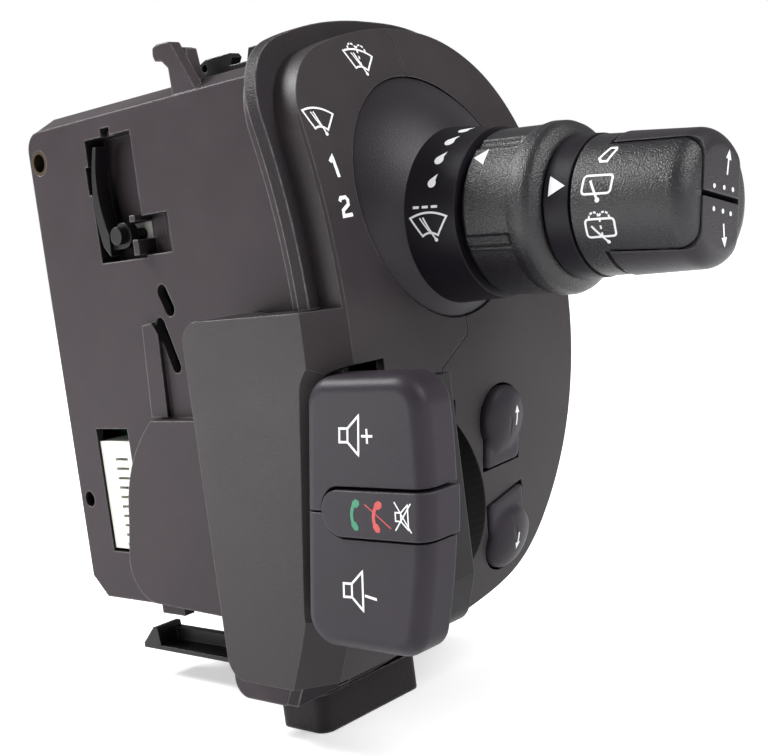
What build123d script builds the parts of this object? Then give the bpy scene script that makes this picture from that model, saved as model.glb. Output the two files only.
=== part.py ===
from build123d import *
import os
from math import asin, atan2, cos, degrees, hypot, radians, sin, sqrt

# A combination stalk switch for a steering column: a flat switch box, an egg-shaped lever
# side with a domed boot, a stalk with two turning collars and tip keys, and an audio remote
# with volume keys, a thumbwheel and two source keys.
# All sizes are in mm. The model is drawn about the centre of the boot's opening:
# +X runs out along the stalk, +Y away from the driver, +Z up. The last step moves the
# origin to the upper screw hole, on the box's front face.

# General walls and clearances
WALL = 2.2
GAP = 0.3
SHAFT_GAP = 0.06
SEAM = 0.15

# Switch box
BOX_LEFT = -116.5
BOX_RIGHT = -24.0
BOX_REACH = 2.0
BOX_TOP = 31.2
BOX_BOTTOM = -94.0
BOX_FRONT = -26.0
BOX_BACK = 16.0
BOX_CORNER = 5.0
BOX_CHAMFER = 5.5
TOP_SLOPE_RUN = 6.0
TOP_SLOPE_RISE = 3.2
COVER_T = 2.0
COVER_LIP = 3.0
COVER_SHORT = 2.6
FRONT_DEPTH = 8.0
SOCKET = (-108.0, -94.0, -42.0, -8.0)
SOCKET_WALL = 1.6

UNDER_CLIP = (-91.0, -82.0, -23.6, -20.4, -97.4)

# Screw holes at the box's free edge
UPPER_HOLE = (-112.4, 23.2)
LOWER_HOLE = (-112.7, -67.1)
UPPER_HOLE_R = 3.2
LOWER_HOLE_R = 2.1
BUSH_WALL = 0.8
BOSS_WALL = 1.8

# Lever side: its front is an arc about an axis along Y
ARC_R = 176.0
ARC_APEX_X = 2.1
ARC_APEX_Z = -27.0
PLATE_LEFT = 37.2
PLATE_TOP = 38.6
PLATE_RIGHT = 42.0
PLATE_BOTTOM = 101.5
PLATE_T = 3.0
PLATE_DEPTH = 6.5
OPENING_R = 26.7
FLANGE_GROW = 3.4
FLANGE_DROP = 5.5
FLANGE_T = 3.2
NECK_INSET = 2.2
NECK_T = 1.8
NECK_DEPTH = 3.7

UNDER_SLOT_Y = (-28.0, -24.4)
UNDER_SLOT_RISE = 0.6
UNDER_SLOT_H = 1.8

# Audio remote housing
AUDIO_FRONT = -44.3
AUDIO_LEFT = -41.5
AUDIO_TOP = -20.5
AUDIO_BOTTOM = -101.5
AUDIO_CHAMFER_X = 6.0
AUDIO_CHAMFER_Y = 7.8
AUDIO_CORNER = 5.0
SKIRT_LEFT = -45.0
SKIRT_FRONT = -40.2
SKIRT_BOTTOM = -107.5
SKIRT_CORNER = 4.0

# Stalk: pivot, axis and stations along the axis from the pivot
PIVOT = (-24.0, 0.0, -3.4)
DROOP = 3.1
DOME_R = 34.9
DOME_T = 1.8
DOME_GAP = 0.35
DOME_SPREAD = 68.0
DOME_CUT_X = -5.5
DOME_CUT_Y = -17.0
SLEEVE_R = 18.7
SLEEVE_END = 41.6
RING_START = 42.3
RING_END = 60.6
RING_R = 16.5
RING_PAD_R = 17.4
RING_FLANGE_R = 17.8
RING_PADS = 5
RING_PAD_ANGLE = 61.0
RING_FIRST = 194.0
MARKER_START = 61.2
MARKER_END = 66.4
MARKER_R = 14.7
CAP_START = 67.0
CAP_R = 14.1
CAP_END_R = 12.9
CAP_FLAT = 10.2
CAP_FLOOR = 85.0
CAP_TURN = -11.0
ARM_START = 72.0
TIP_END = 91.0
TIP_ROUND = 4.0
TIP_CORNER = 4.0
TIP_HALF = 7.3
TIP_PROUD = 0.3
TIP_SPLIT = 1.1
TIP_GAP = 1.2
TIP_PRESS = 0.8
TIP_DISC_R = 6.9
TIP_DISC_T = 1.2
TIP_STEM_R = 5.2
TIP_STEM = 5.0
CORE_R = 6.0
CORE_BORE = 4.2
CORE_START = 12.0

# Lever mechanism
TRUNNION_R = 2.5
YOKE_HALF_Y = 11.5
YOKE_HALF_Z = 13.0
YOKE_WALL = 3.2
YOKE_DEPTH = 10.0
CHEEK_T = 2.6
FRAME_BACK_X = -46.0
PLUNGER_R = 2.0
TRACK_R = 19.8

# Latch
RECESS_LEFT = -91.4
RECESS_FLOOR_END = -80.4
RECESS_RIGHT = -72.0
RECESS_DEPTH = 6.0
RECESS_WALL = 1.4
SIDE_DEPTH = 4.0
BAR_SLOT = (-0.4, 4.0)
LATCH_PIN = (-82.6, 1.2)
LATCH_PIN_R = 1.5

# Audio keys
KEY_FRONT = -47.0
KEY_BACK = -38.0
KEY_TRAVEL = 1.0
KEY_WALL = 1.8
KEY_SPLIT_Z = -60.4
KEY_SLIT = 0.5
CALL_HALF = 4.7
CALL_LEFT = -1.4
CALL_PROUD = 0.7
CALL_SLIT = 0.7
KEY_RECESS = 1.1
KEY_BEVEL = 2.2
FRAME_INSET = 7.5
FRAME_BACK = -28.0
POST_R = 2.6

# Thumbwheel
WHEEL_R = 24.0
WHEEL_X = -16.0
WHEEL_Z = -65.5
WHEEL_Y0 = -15.0
WHEEL_Y1 = -6.0
WHEEL_BORE_R = 3.0
WHEEL_GAP = 1.0

# Source keys
SOURCE_R = 7.4
SOURCE_STEM = 6.4
SOURCE_PROUD = 0.8
SOURCE_DOME = 2.4
SOURCE_TRAVEL = 1.0
SOURCE_GAP = 0.6
SOURCE_MAT_DEPTH = 10.2
SOURCE_BOSSES = ((5.6, -67.1), (21.0, -46.6))
BOSS_R = 1.6
MAT_T = 1.4
SOURCE_UP = (11.6, -52.0)
SOURCE_UP_END = (12.2, -63.0)
SOURCE_DOWN = (17.6, -82.6)
SOURCE_DOWN_END = (14.4, -71.2)

ARC_X = ARC_APEX_X - ARC_R
NECK_FRONT = PLATE_DEPTH + FLANGE_T
FAR = 60.0


def slab(x0, x1, y0, y1, z0, z1):
    """A block between six planes."""
    return Pos((x0 + x1) / 2, (y0 + y1) / 2, (z0 + z1) / 2) * Box(x1 - x0, y1 - y0, z1 - z0)


def along_y(sketch, y0, y1):
    """Extrudes a sketch drawn in X and Z from y0 to y1."""
    return extrude(Plane.XZ.offset(-y1) * sketch, y1 - y0)


def along_x(sketch, x0, x1):
    """Extrudes a sketch drawn in Y and Z from x0 to x1."""
    return extrude(Plane.YZ.offset(x0) * sketch, x1 - x0)


def rod_y(x, z, radius, y0, y1):
    """A round bar along Y."""
    return along_y(Pos(x, z) * Circle(radius), y0, y1)


def rod_x(y, z, radius, x0, x1):
    """A round bar along X."""
    return along_x(Pos(y, z) * Circle(radius), x0, x1)


def rectangle(x0, x1, z0, z1):
    """A flat rectangle between four lines."""
    return Pos((x0 + x1) / 2, (z0 + z1) / 2) * Rectangle(x1 - x0, z1 - z0)


def arc_body(profile):
    """Turns a profile of (depth below the arc, y) about the lever side's arc axis."""
    points = [(ARC_X + ARC_R - depth, y) for depth, y in profile]
    face = Plane.XY.offset(ARC_APEX_Z) * make_face(Polyline(*points, close=True))
    return revolve(face, Axis((ARC_X, 0, ARC_APEX_Z), (0, 1, 0)), 360)


def arc_slab(depth0, depth1, y0=-FAR, y1=FAR):
    """The layer between two depths below the lever side's front."""
    return arc_body([(depth0, y0), (depth0, y1), (depth1, y1), (depth1, y0)])


def arc_x(z, depth=0.0):
    """X of the lever side's front at a height, less a depth."""
    return ARC_X + sqrt((ARC_R - depth) ** 2 - (z - ARC_APEX_Z) ** 2)


def egg(grow=0.0, drop=0.0):
    """The lever side's outline in Y and Z, grown all round and dropped at its foot."""
    left = -PLATE_LEFT - grow
    top = PLATE_TOP + grow
    right = PLATE_RIGHT + grow
    foot = -PLATE_BOTTOM - drop
    shoulder = (left + 3.6, top - 12.0)
    crown = (left + 12.8, top - 4.9)
    start = (left, foot)
    side = Spline((1.5, top), (right - 24.5, top - 2.3), (right - 13.0, top - 10.1),
                  (right - 3.8, top - 30.6),
                  (right, top - 67.0), (right - 2.3, foot + 45.5), (right - 8.0, foot + 23.5),
                  (right - 16.0, foot + 10.5), (right - 30.0, foot + 4.7), (right - 62.0, foot),
                  tangents=[(1, -0.03), (-1, -0.12)], tangent_scalars=[1, 1])
    edges = (Line(start, (left, top - 22.6)) + ThreePointArc((left, top - 22.6), shoulder, crown)
             + ThreePointArc(crown, (left + 25.0, top - 1.6), (1.5, top)) + side
             + Line((right - 62.0, foot), start))
    return make_face(edges)


def seam_region(side):
    """The part of space on the driver's side (-1) or the far side (1) of the shells' seam."""
    shift = SEAM * side
    points = [(shift + 1.2, FAR), (shift + 1.2, -31.0), (shift - 8.8, -37.5),
              (shift - 8.8, -2 * FAR), (side * 2 * FAR, -2 * FAR), (side * 2 * FAR, FAR)]
    return along_x(make_face(Polyline(*points, close=True)), -FAR, FAR)


def box_outline(inset=0.0):
    """The switch box seen from the front."""
    left = BOX_LEFT + inset
    right = BOX_REACH
    top = BOX_TOP - inset
    bottom = BOX_BOTTOM + inset
    corner = BOX_CORNER - inset / 2
    bend = corner * (1 - cos(radians(45)))
    cut = BOX_CHAMFER
    edges = (Line((left, bottom + cut), (left, top - corner))
             + ThreePointArc((left, top - corner), (left + bend, top - bend), (left + corner, top))
             + Line((left + corner, top), (right, top)) + Line((right, top), (right, bottom))
             + Line((right, bottom), (left + cut, bottom)) + Line((left + cut, bottom), (left, bottom + cut)))
    return make_face(edges)


def slot_cut(x, z, length, width, tilt):
    """A stadium slot through the box's front wall."""
    shape = Pos(x, z) * Rot(0, 0, tilt) * SlotOverall(length, width)
    return along_y(shape, BOX_FRONT - 1, BOX_FRONT + WALL + 1)


def pad_outline():
    """The raised pad at the foot of the box's front."""
    right = AUDIO_LEFT - SEAM
    edges = (Line((right, -45.0), (-76.0, -45.0))
             + ThreePointArc((-76.0, -45.0), (-86.2, -56.3), (-90.8, -70.0))
             + Line((-90.8, -70.0), (-93.0, -80.0))
             + ThreePointArc((-93.0, -80.0), (-91.4, -88.6), (-83.5, -92.4))
             + Line((-83.5, -92.4), (right, -93.8)) + Line((right, -93.8), (right, -45.0)))
    return make_face(edges)


def top_slope():
    """The step along the box's top, behind its front edge."""
    points = [(BOX_FRONT, BOX_TOP - WALL), (BOX_FRONT, BOX_TOP),
              (BOX_FRONT + TOP_SLOPE_RUN, BOX_TOP + TOP_SLOPE_RISE),
              (BOX_BACK, BOX_TOP + TOP_SLOPE_RISE), (BOX_BACK, BOX_TOP - WALL)]
    face = make_face(Polyline(*points, close=True))
    return along_x(face, BOX_LEFT + BOX_CORNER, BOX_REACH)


def hook_clip():
    """The snap hook that stands on the box's top edge."""
    foot = BOX_TOP - 2.0
    points = [(-55.0, foot), (-55.3, 37.6), (-57.4, 39.6), (-59.6, 39.9), (-60.2, 41.2), (-60.0, 43.0),
              (-58.2, 43.6), (-53.6, 43.4), (-45.6, foot)]
    hook = along_y(make_face(Polyline(*points, close=True)), BOX_FRONT + 0.2, BOX_FRONT + 3.2)
    web = Polyline((-53.6, foot), (-53.6, 42.2), (-51.8, 41.6), (-50.0, foot), close=True)
    brace = along_y(make_face(web), BOX_FRONT + 3.2, BOX_FRONT + 6.6)
    return fillet(hook.edges().filter_by(Axis.Y).sort_by(Axis.Z)[-3:], 0.8) + brace


def housing():
    """The box, its neck and its front details, open at the back for the cover."""
    body = (along_y(box_outline(), BOX_FRONT, BOX_BACK) + top_slope()) & arc_slab(NECK_FRONT, ARC_R - 1.0)
    body += neck_outer()
    body += skirt_outer()
    body += along_y(pad_outline(), BOX_FRONT - 4.0, BOX_FRONT + 1.0)
    body -= box_hollow()
    body -= neck_hollow()
    body -= window_cut()
    body += rib()
    body -= latch_recess()
    body += latch_walls()
    for (x, z), radius in ((UPPER_HOLE, UPPER_HOLE_R), (LOWER_HOLE, LOWER_HOLE_R)):
        boss = rod_y(x, z, radius + BOSS_WALL, BOX_FRONT, BOX_BACK)
        body += boss & along_y(box_outline(), BOX_FRONT, BOX_BACK)
        body -= rod_y(x, z, radius, BOX_FRONT - 1, BOX_BACK + 1)
    body -= slot_cut(-68.2, -15.9, 8.4, 3.7, 115.0)
    body -= slot_cut(-69.6, -26.9, 14.6, 3.3, 110.0)
    body += slab(*UNDER_CLIP, BOX_BOTTOM + 1)
    body += hook_clip()
    return body


def main_housing(case):
    """The front moulding: the box's front face with a shallow wall."""
    return case & slab(-FAR * 3, FAR, -FAR * 2, BOX_FRONT + FRONT_DEPTH, -FAR * 3, FAR)


def box_body(case):
    """The rear moulding: the box's walls, the back of the neck, and the screw bosses."""
    return case & slab(-FAR * 3, FAR, BOX_FRONT + FRONT_DEPTH, FAR * 2, -FAR * 3, FAR)


def audio_room(gap):
    """The room that the audio remote's case takes beside the box."""
    return slab(AUDIO_LEFT - gap, 20, -2 * FAR, BOX_FRONT - GAP + gap, AUDIO_BOTTOM - gap, AUDIO_TOP + gap)


def neck_outer():
    """The shallow tray behind the lever side's frame, deeper behind the box's back."""
    outline = egg(FLANGE_GROW - NECK_INSET, FLANGE_DROP - NECK_INSET)
    tray = along_x(outline, 4 * BOX_RIGHT, 20) & arc_slab(NECK_FRONT, NECK_FRONT + NECK_DEPTH)
    bulge = along_x(outline, BOX_RIGHT, 20) & arc_slab(NECK_FRONT, ARC_R - 1.0)
    bulge &= slab(BOX_RIGHT, 20, BOX_BACK - 2.0, FAR, -2 * FAR, BOX_TOP)
    return tray + bulge - audio_room(SEAM)


def skirt_outer():
    """The skirt under the audio remote and the box's foot."""
    skirt = along_y(rectangle(SKIRT_LEFT, 0, SKIRT_BOTTOM, BOX_BOTTOM + 2), SKIRT_FRONT, BOX_BACK)
    edge = skirt.edges().filter_by(Axis.Y).sort_by(Axis.Z)[:2].sort_by(Axis.X)[0]
    return (fillet(edge, SKIRT_CORNER) & arc_slab(NECK_FRONT, ARC_R - 1.0)) - audio_room(SEAM)


def box_hollow():
    """The room inside the box."""
    room = along_y(box_outline(WALL), BOX_FRONT + WALL, BOX_BACK + 1)
    loft_top = BOX_TOP + TOP_SLOPE_RISE - WALL
    head = along_x(rectangle(BOX_FRONT + TOP_SLOPE_RUN, BOX_BACK + 1, BOX_TOP - 2 * WALL, loft_top),
                   BOX_LEFT + BOX_CORNER + WALL, BOX_REACH)
    return (room + head) & arc_slab(NECK_FRONT - 1.0, ARC_R - 1.0)


def neck_hollow():
    """The room inside the tray, the bulge behind the box's back, and the skirt."""
    outline = egg(FLANGE_GROW - NECK_INSET - WALL, FLANGE_DROP - NECK_INSET - WALL)
    tray = along_x(outline, 4 * BOX_RIGHT, 20) & arc_slab(NECK_FRONT - 1.0, NECK_FRONT + NECK_DEPTH - NECK_T)
    bulge = along_x(outline, BOX_RIGHT + WALL, 20) & arc_slab(NECK_FRONT - 1.0, ARC_R - 1.0)
    bulge &= slab(BOX_RIGHT, 20, BOX_BACK - 3.0, FAR, -2 * FAR, BOX_TOP - WALL)
    skirt = slab(SKIRT_LEFT + WALL, 0, SKIRT_FRONT + WALL, BOX_FRONT - GAP,
                 SKIRT_BOTTOM + WALL, BOX_BOTTOM + 3)
    return tray + bulge + (skirt & arc_slab(NECK_FRONT - 1.0, ARC_R - 1.0))


def window_cut():
    """The window for the white connector, in the box's front wall."""
    return slab(-105.2, -91.5, BOX_FRONT - 0.01, BOX_FRONT + WALL + 1, -81.0, -47.8)


def rib():
    """The upright ridge above the pad."""
    points = [(-77.4, -21.5), (-78.8, -44.6), (-72.4, -44.6), (-71.6, -24.0), (-73.6, -21.0)]
    return along_y(make_face(Polyline(*points, close=True)), BOX_FRONT - 1.3, BOX_FRONT + 0.5)


def latch_scoop(y):
    """The main hollow of the latch's recess, with one sloping side, starting at a depth."""
    floor = BOX_FRONT + RECESS_DEPTH
    return Polyline((RECESS_LEFT, y), (RECESS_LEFT, floor), (RECESS_FLOOR_END, floor), (RECESS_RIGHT, BOX_FRONT - 0.5),
                    close=True)


def latch_side(y):
    """The smaller hollow beside the latch's pin."""
    floor = BOX_FRONT + SIDE_DEPTH
    return Polyline((-76.2, y), (-76.2, floor), (-69.0, floor), (-62.0, y), close=True)


def latch_room():
    """Both hollows of the recess as one solid."""
    scoop = extrude(Plane.XY.offset(-5.0) * make_face(latch_scoop(BOX_FRONT - 0.5)), 31.0)
    return scoop + extrude(Plane.XY.offset(-4.4) * make_face(latch_side(BOX_FRONT - 0.5)), 9.6)


def latch_recess():
    """The recess with a sloping side, in which the latch lever lies."""
    notch = slab(-92.6, -90.0, BOX_FRONT - 1, BOX_FRONT + WALL + 1, 12.4, 19.4)
    eye = slab(-84.4, -80.8, BOX_FRONT - 1, BOX_FRONT + WALL + 1, 25.0, 28.0)
    return latch_room() + notch + eye


def latch_walls():
    """The floor under the recess, cut by the slot that shows the white bar, and the bracket's lugs."""
    back = BOX_FRONT + RECESS_DEPTH + RECESS_WALL
    floor = Polyline((RECESS_LEFT - RECESS_WALL, BOX_FRONT + WALL), (RECESS_LEFT - RECESS_WALL, back),
                     (RECESS_FLOOR_END + 0.6, back), (-61.0, BOX_FRONT + WALL), close=True)
    pan = extrude(Plane.XY.offset(-6.4) * make_face(floor), 33.8) - latch_room()
    pan -= slab(-88.4, -73.4, BOX_FRONT + 2, back + 1, *BAR_SLOT)
    lugs = slab(-75.6, -73.6, BOX_FRONT - 1.6, BOX_FRONT + RECESS_DEPTH, -4.2, 5.6)
    return pan + (lugs - slab(-76, -73, BOX_FRONT - 2, BOX_FRONT + RECESS_DEPTH - 1, *BAR_SLOT))


def back_cover():
    """The cover that closes the box's back, with a lip, a rim of ribs and two cable windows."""
    keep = slab(BOX_LEFT, BOX_RIGHT - COVER_SHORT, BOX_BACK - COVER_LIP, BOX_BACK + COVER_T, -2 * FAR, FAR)
    plate = along_y(box_outline(GAP), BOX_BACK, BOX_BACK + COVER_T) & keep
    lip = along_y(box_outline(WALL + GAP), BOX_BACK - COVER_LIP, BOX_BACK)
    lip -= along_y(box_outline(2 * WALL), BOX_BACK - COVER_LIP - 1, BOX_BACK + 1)
    lip -= slab(BOX_RIGHT - 3 * WALL, 20, BOX_BACK - COVER_LIP - 1, BOX_BACK + 1, -FAR * 2, FAR)
    for (x, z), radius in ((UPPER_HOLE, UPPER_HOLE_R), (LOWER_HOLE, LOWER_HOLE_R)):
        lip -= rod_y(x, z, radius + BOSS_WALL + GAP, BOX_BACK - COVER_LIP - 1, BOX_BACK)
        plate -= rod_y(x, z, radius, BOX_BACK - 1, BOX_BACK + COVER_T + 1)
    x0, x1, z0, z1 = SOCKET
    plate -= slab(x0 - GAP, x1 + GAP, BOX_BACK - 1, BOX_BACK + COVER_T + 1, z0 - GAP, z1 + GAP)
    ribs = slab(-100, -40, BOX_BACK + COVER_T, BOX_BACK + COVER_T + 1.6, -2.0, 0.0)
    for x in (-88.0, -64.0, -40.0):
        ribs += slab(x - 1, x + 1, BOX_BACK + COVER_T, BOX_BACK + COVER_T + 1.6, -40.0, 22.0)
    return plate + lip + ribs


def screw_bush():
    """The metal bush that lines the upper screw hole."""
    bush = rod_y(*UPPER_HOLE, UPPER_HOLE_R, BOX_FRONT, BOX_BACK + COVER_T)
    return bush - rod_y(*UPPER_HOLE, UPPER_HOLE_R - BUSH_WALL, BOX_FRONT - 1, BOX_BACK + COVER_T + 1)


def white_connector():
    """The pale plug connector in the window, with a row of contact slots."""
    body = slab(-104.9, -91.8, BOX_FRONT + 0.6, BOX_FRONT + 12.0, -80.2, -51.2)
    for index in range(10):
        z = -56.0 - 2.54 * index
        body -= slab(-99.2, -94.0, BOX_FRONT, BOX_FRONT + 7.0, z - 0.35, z + 0.35)
        body -= slab(-97.2, -96.4, BOX_FRONT + 6.0, BOX_FRONT + 13.0, z - 0.32, z + 0.32)
    return body


def connector_pins():
    """The contacts between the pale connector and the board."""
    pins = []
    for index in range(10):
        z = -56.0 - 2.54 * index
        pins.append(slab(-97.2, -96.4, BOX_FRONT + 7.0, BOX_FRONT + 14.0, z - 0.32, z + 0.32))
    return Compound(children=pins)


def circuit_board():
    """The main board, behind the connector and beside the lever mechanism."""
    y0 = BOX_FRONT + 12.0
    board = slab(-112.0, -56.0, y0, y0 + 1.6, -85.5, 8.0)
    board -= rod_y(*LOWER_HOLE, LOWER_HOLE_R + BOSS_WALL + 1, y0 - 1, y0 + 3)
    for index in range(10):
        z = -56.0 - 2.54 * index
        board -= slab(-97.2, -96.4, y0 - 1, y0 + 3, z - 0.32, z + 0.32)
    return board


def board_chips():
    """The chips and the relay on the board's back."""
    y0 = BOX_FRONT + 13.6
    chips = [slab(-86, -74, y0, y0 + 1.8, -40, -28), slab(-70, -62, y0, y0 + 1.6, -60, -50),
             slab(-88, -76, y0, y0 + 9.0, -70, -56), slab(-70, -60, y0, y0 + 1.4, -20, -12)]
    return Compound(children=chips)


def board_socket():
    """The socket on the board's back for the column's loom."""
    y0 = BOX_FRONT + 13.6
    x0, x1, z0, z1 = SOCKET
    well = slab(x0 + SOCKET_WALL, x1 - SOCKET_WALL, y0 + 6, BOX_BACK + 5, z0 + SOCKET_WALL, z1 - SOCKET_WALL)
    return slab(x0, x1, y0, BOX_BACK + 3.4, z0, z1) - well


def front_arc(inset):
    """The space behind the lever side's front, with the audio remote's sloping edge."""
    front = AUDIO_FRONT + inset
    return arc_body([(inset, AUDIO_FRONT + AUDIO_CHAMFER_Y + inset * 0.5), (inset, FAR), (FAR + inset, FAR),
                     (FAR + inset, front), (AUDIO_CHAMFER_X + inset, front)])


def front_blank(inset):
    """The lever side as one solid, smaller all round by an inset."""
    return along_x(egg(-inset, -inset), BOX_RIGHT - inset, 20) & front_arc(inset)


def audio_blank(inset):
    """The audio remote's case as one solid, smaller all round by an inset."""
    outline = rectangle(AUDIO_LEFT + inset, 20, AUDIO_BOTTOM + inset, AUDIO_TOP - inset)
    case = along_y(outline, AUDIO_FRONT + inset, -8.8)
    corners = case.edges().filter_by(Axis.Y).group_by(Axis.X)[0]
    return fillet(corners, AUDIO_CORNER - inset) & front_arc(inset)


def shell_layer():
    """Both shells in one: the front's wall and skirt, and the audio remote's case."""
    front_room = front_blank(WALL)
    audio_well = audio_blank(WALL)
    rim = arc_slab(-1, PLATE_DEPTH)
    front = (front_blank(0) & rim) - front_room - audio_well
    case = audio_blank(0) - audio_well - front_room
    side = case & slab(AUDIO_LEFT - 1, 20, AUDIO_FRONT - 1, BOX_FRONT - GAP, -2 * FAR, 0)
    return front + side + (case & rim)


def opening():
    """The boot's opening, with a rounded seat behind it that follows the boot."""
    return rod_x(0, 0, OPENING_R, -FAR, FAR) + Pos(*PIVOT) * Sphere(DOME_R + DOME_GAP)


def front_shell(layer):
    """The driver's side shell: half the printed front, and the audio remote's case."""
    shell = layer & seam_region(-1)
    shell -= opening()
    shell -= wheel_slot()
    cut = key_outline(KEY_RECESS + KEY_BEVEL)
    inner = key_outline(KEY_RECESS)
    shell -= loft([Plane.XZ.offset(0.01 - AUDIO_FRONT) * cut, Plane.XZ.offset(-AUDIO_FRONT - 3.0) * inner])
    shell -= along_y(inner, AUDIO_FRONT - 1, FRAME_BACK + KEY_SLIT)
    return shell


def rear_shell(layer):
    """The far side shell: the rest of the printed front, with the wheel's slot and the key windows."""
    shell = layer & seam_region(1)
    shell -= opening()
    shell -= wheel_slot()
    for head, tail in ((SOURCE_UP, SOURCE_UP_END), (SOURCE_DOWN, SOURCE_DOWN_END)):
        shell -= along_x(keyhole(head, tail, SOURCE_GAP), -FAR / 2, 20)
    for y, z in SOURCE_BOSSES:
        shell += rod_x(y, z, BOSS_R, source_board_x(), arc_x(z, WALL / 2))
    return shell


def flange_frame():
    """The grained frame between the neck and the two shells."""
    plate = along_x(egg(FLANGE_GROW, FLANGE_DROP), -FAR / 2, 20)
    plate &= arc_slab(PLATE_DEPTH, PLATE_DEPTH + FLANGE_T)
    room = along_x(egg(-WALL, FLANGE_DROP - 2 * WALL), -FAR, 20)
    plate -= room
    plate -= audio_room(SEAM)
    foot = UNDER_SLOT_RISE - PLATE_BOTTOM - FLANGE_DROP
    return plate - slab(-FAR, 20, *UNDER_SLOT_Y, foot, foot + UNDER_SLOT_H)


def wheel_slot():
    """The slot in the front through which the thumbwheel stands."""
    return slab(-FAR / 2, 20, WHEEL_Y0 - WHEEL_GAP, WHEEL_Y1 + WHEEL_GAP, WHEEL_Z - 27.0, WHEEL_Z + 20.5)


def thumbwheel():
    """The thumbwheel: a dished disc with a ribbed, rounded rim on a hub."""
    width = WHEEL_Y1 - WHEEL_Y0
    rim = rod_y(WHEEL_X, WHEEL_Z, WHEEL_R, WHEEL_Y0, WHEEL_Y1)
    rim = fillet(rim.edges(), 1.6)
    dish = rod_y(WHEEL_X, WHEEL_Z, WHEEL_R - 4.5, WHEEL_Y0 - 1, WHEEL_Y0 + width * 0.36)
    back = rod_y(WHEEL_X, WHEEL_Z, WHEEL_R - 4.5, WHEEL_Y1 - width * 0.36, WHEEL_Y1 + 1)
    hub = rod_y(WHEEL_X, WHEEL_Z, WHEEL_BORE_R + 2.5, WHEEL_Y0, WHEEL_Y1)
    return rim - dish - back + hub - rod_y(WHEEL_X, WHEEL_Z, WHEEL_BORE_R, WHEEL_Y0 - 1, WHEEL_Y1 + 1)


def wheel_axle():
    """The fixed axle of the thumbwheel, with a head at each end and the arm that carries it."""
    radius = WHEEL_BORE_R - SHAFT_GAP
    pin = rod_y(WHEEL_X, WHEEL_Z, radius, WHEEL_Y0 - 1.2, WHEEL_Y1 + 4.0)
    head = rod_y(WHEEL_X, WHEEL_Z, radius + 1.4, WHEEL_Y0 - 2.4, WHEEL_Y0 - GAP)
    return pin + head + rod_y(WHEEL_X, WHEEL_Z, radius + 1.4, WHEEL_Y1 + GAP, WHEEL_Y1 + 1.5)


def wheel_bracket():
    """The bracket that holds the wheel's axle, standing on the box's back cover."""
    y0 = WHEEL_Y1 + 1.5
    arm = slab(WHEEL_X - 6, WHEEL_X + 6, y0, y0 + 2.5, WHEEL_Z - 7, WHEEL_Z + 7)
    arm -= rod_y(WHEEL_X, WHEEL_Z, WHEEL_BORE_R - SHAFT_GAP, y0 - 1, y0 + 3)
    legs = slab(BOX_RIGHT - 6, WHEEL_X - 4, y0, y0 + 2.5, WHEEL_Z - 7, WHEEL_Z + 7)
    foot = slab(BOX_RIGHT - 6, BOX_RIGHT - 3.5, y0, BOX_BACK, WHEEL_Z - 7, WHEEL_Z + 7)
    return arm + legs + foot


def keyhole(head, tail, grow):
    """A round head with a straight stem, drawn in Y and Z."""
    length = hypot(tail[0] - head[0], tail[1] - head[1])
    angle = degrees(atan2(tail[1] - head[1], tail[0] - head[0]))
    stem = Pos(length / 2, 0) * Rectangle(length + 2 * grow, 2 * (SOURCE_STEM + grow))
    shape = Circle(SOURCE_R + grow) + stem
    return Pos(head[0], head[1]) * Rot(0, 0, angle) * shape


def source_key(head, tail):
    """A source key: a keyhole cap with a domed head, and a flange that keeps it in its window."""
    cap = along_x(keyhole(head, tail, 0), -FAR / 2, 20) & arc_slab(-SOURCE_PROUD, PLATE_T + 2.0)
    flange = along_x(keyhole(head, tail, 1.6), -FAR / 2, 20) & arc_slab(PLATE_T + 0.4, PLATE_T + 2.0)
    flange &= along_x(egg(-WALL - 2 * GAP, -WALL - 2 * GAP), -FAR / 2, 20)
    foot = arc_x(head[1]) - PLATE_T
    crown = arc_x(head[1], -SOURCE_PROUD) + SOURCE_DOME
    button = rod_x(head[0], head[1], SOURCE_R - 0.5, foot, crown)
    rim = button.edges().sort_by(Axis.X)[-1]
    return cap + flange + fillet(rim, SOURCE_DOME - 0.2)


def source_mat():
    """The rubber mat behind the two source keys, with a dome under each."""
    x1 = source_board_x() + MAT_T
    mat = slab(x1 - MAT_T, x1, 3.0, 22.4, -87.4, -46.0)
    for y, z in (SOURCE_UP, SOURCE_DOWN):
        mat += rod_x(y, z, 2.4, x1, arc_x(z, PLATE_T + 2.0 + SOURCE_TRAVEL + 1.0))
    for y, z in SOURCE_BOSSES:
        mat -= rod_x(y, z, BOSS_R + GAP, x1 - 2 * MAT_T, x1 + 1)
    return mat


def source_board_x():
    """X of the front of the source keys' board."""
    return arc_x(SOURCE_DOWN[1]) - SOURCE_MAT_DEPTH - MAT_T


def source_board():
    """The small board under the source keys' mat, held on the shell's bosses."""
    x1 = source_board_x()
    return slab(x1 - 1.4, x1, 3.0, 22.6, -87.6, -45.0)


def key_outline(grow=0.0):
    """The block of three audio keys seen from the driver's side."""
    top = -33.4 + grow
    bottom = -89.4 - grow
    left_top = -2.6 - grow
    left_bottom = -12.6 - grow
    right = 27.2 + grow
    edges = (Line((left_bottom, bottom), (left_top, top)) + Line((left_top, top), (right, top))
             + ThreePointArc((right, top), (right - 1.4, -60.0), (right - 9.0, bottom))
             + Line((right - 9.0, bottom), (left_bottom, bottom)))
    face = make_face(edges)
    return fillet(face.vertices(), 6.5 + grow / 2)


def key_block(proud=0.0):
    """The solid that the audio keys are cut from, with its front edge rounded."""
    block = along_y(key_outline(proud), KEY_FRONT - proud, KEY_BACK)
    edge = block.faces().sort_by(Axis.Y)[0].edges()
    return fillet(edge, 3.2)


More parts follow.
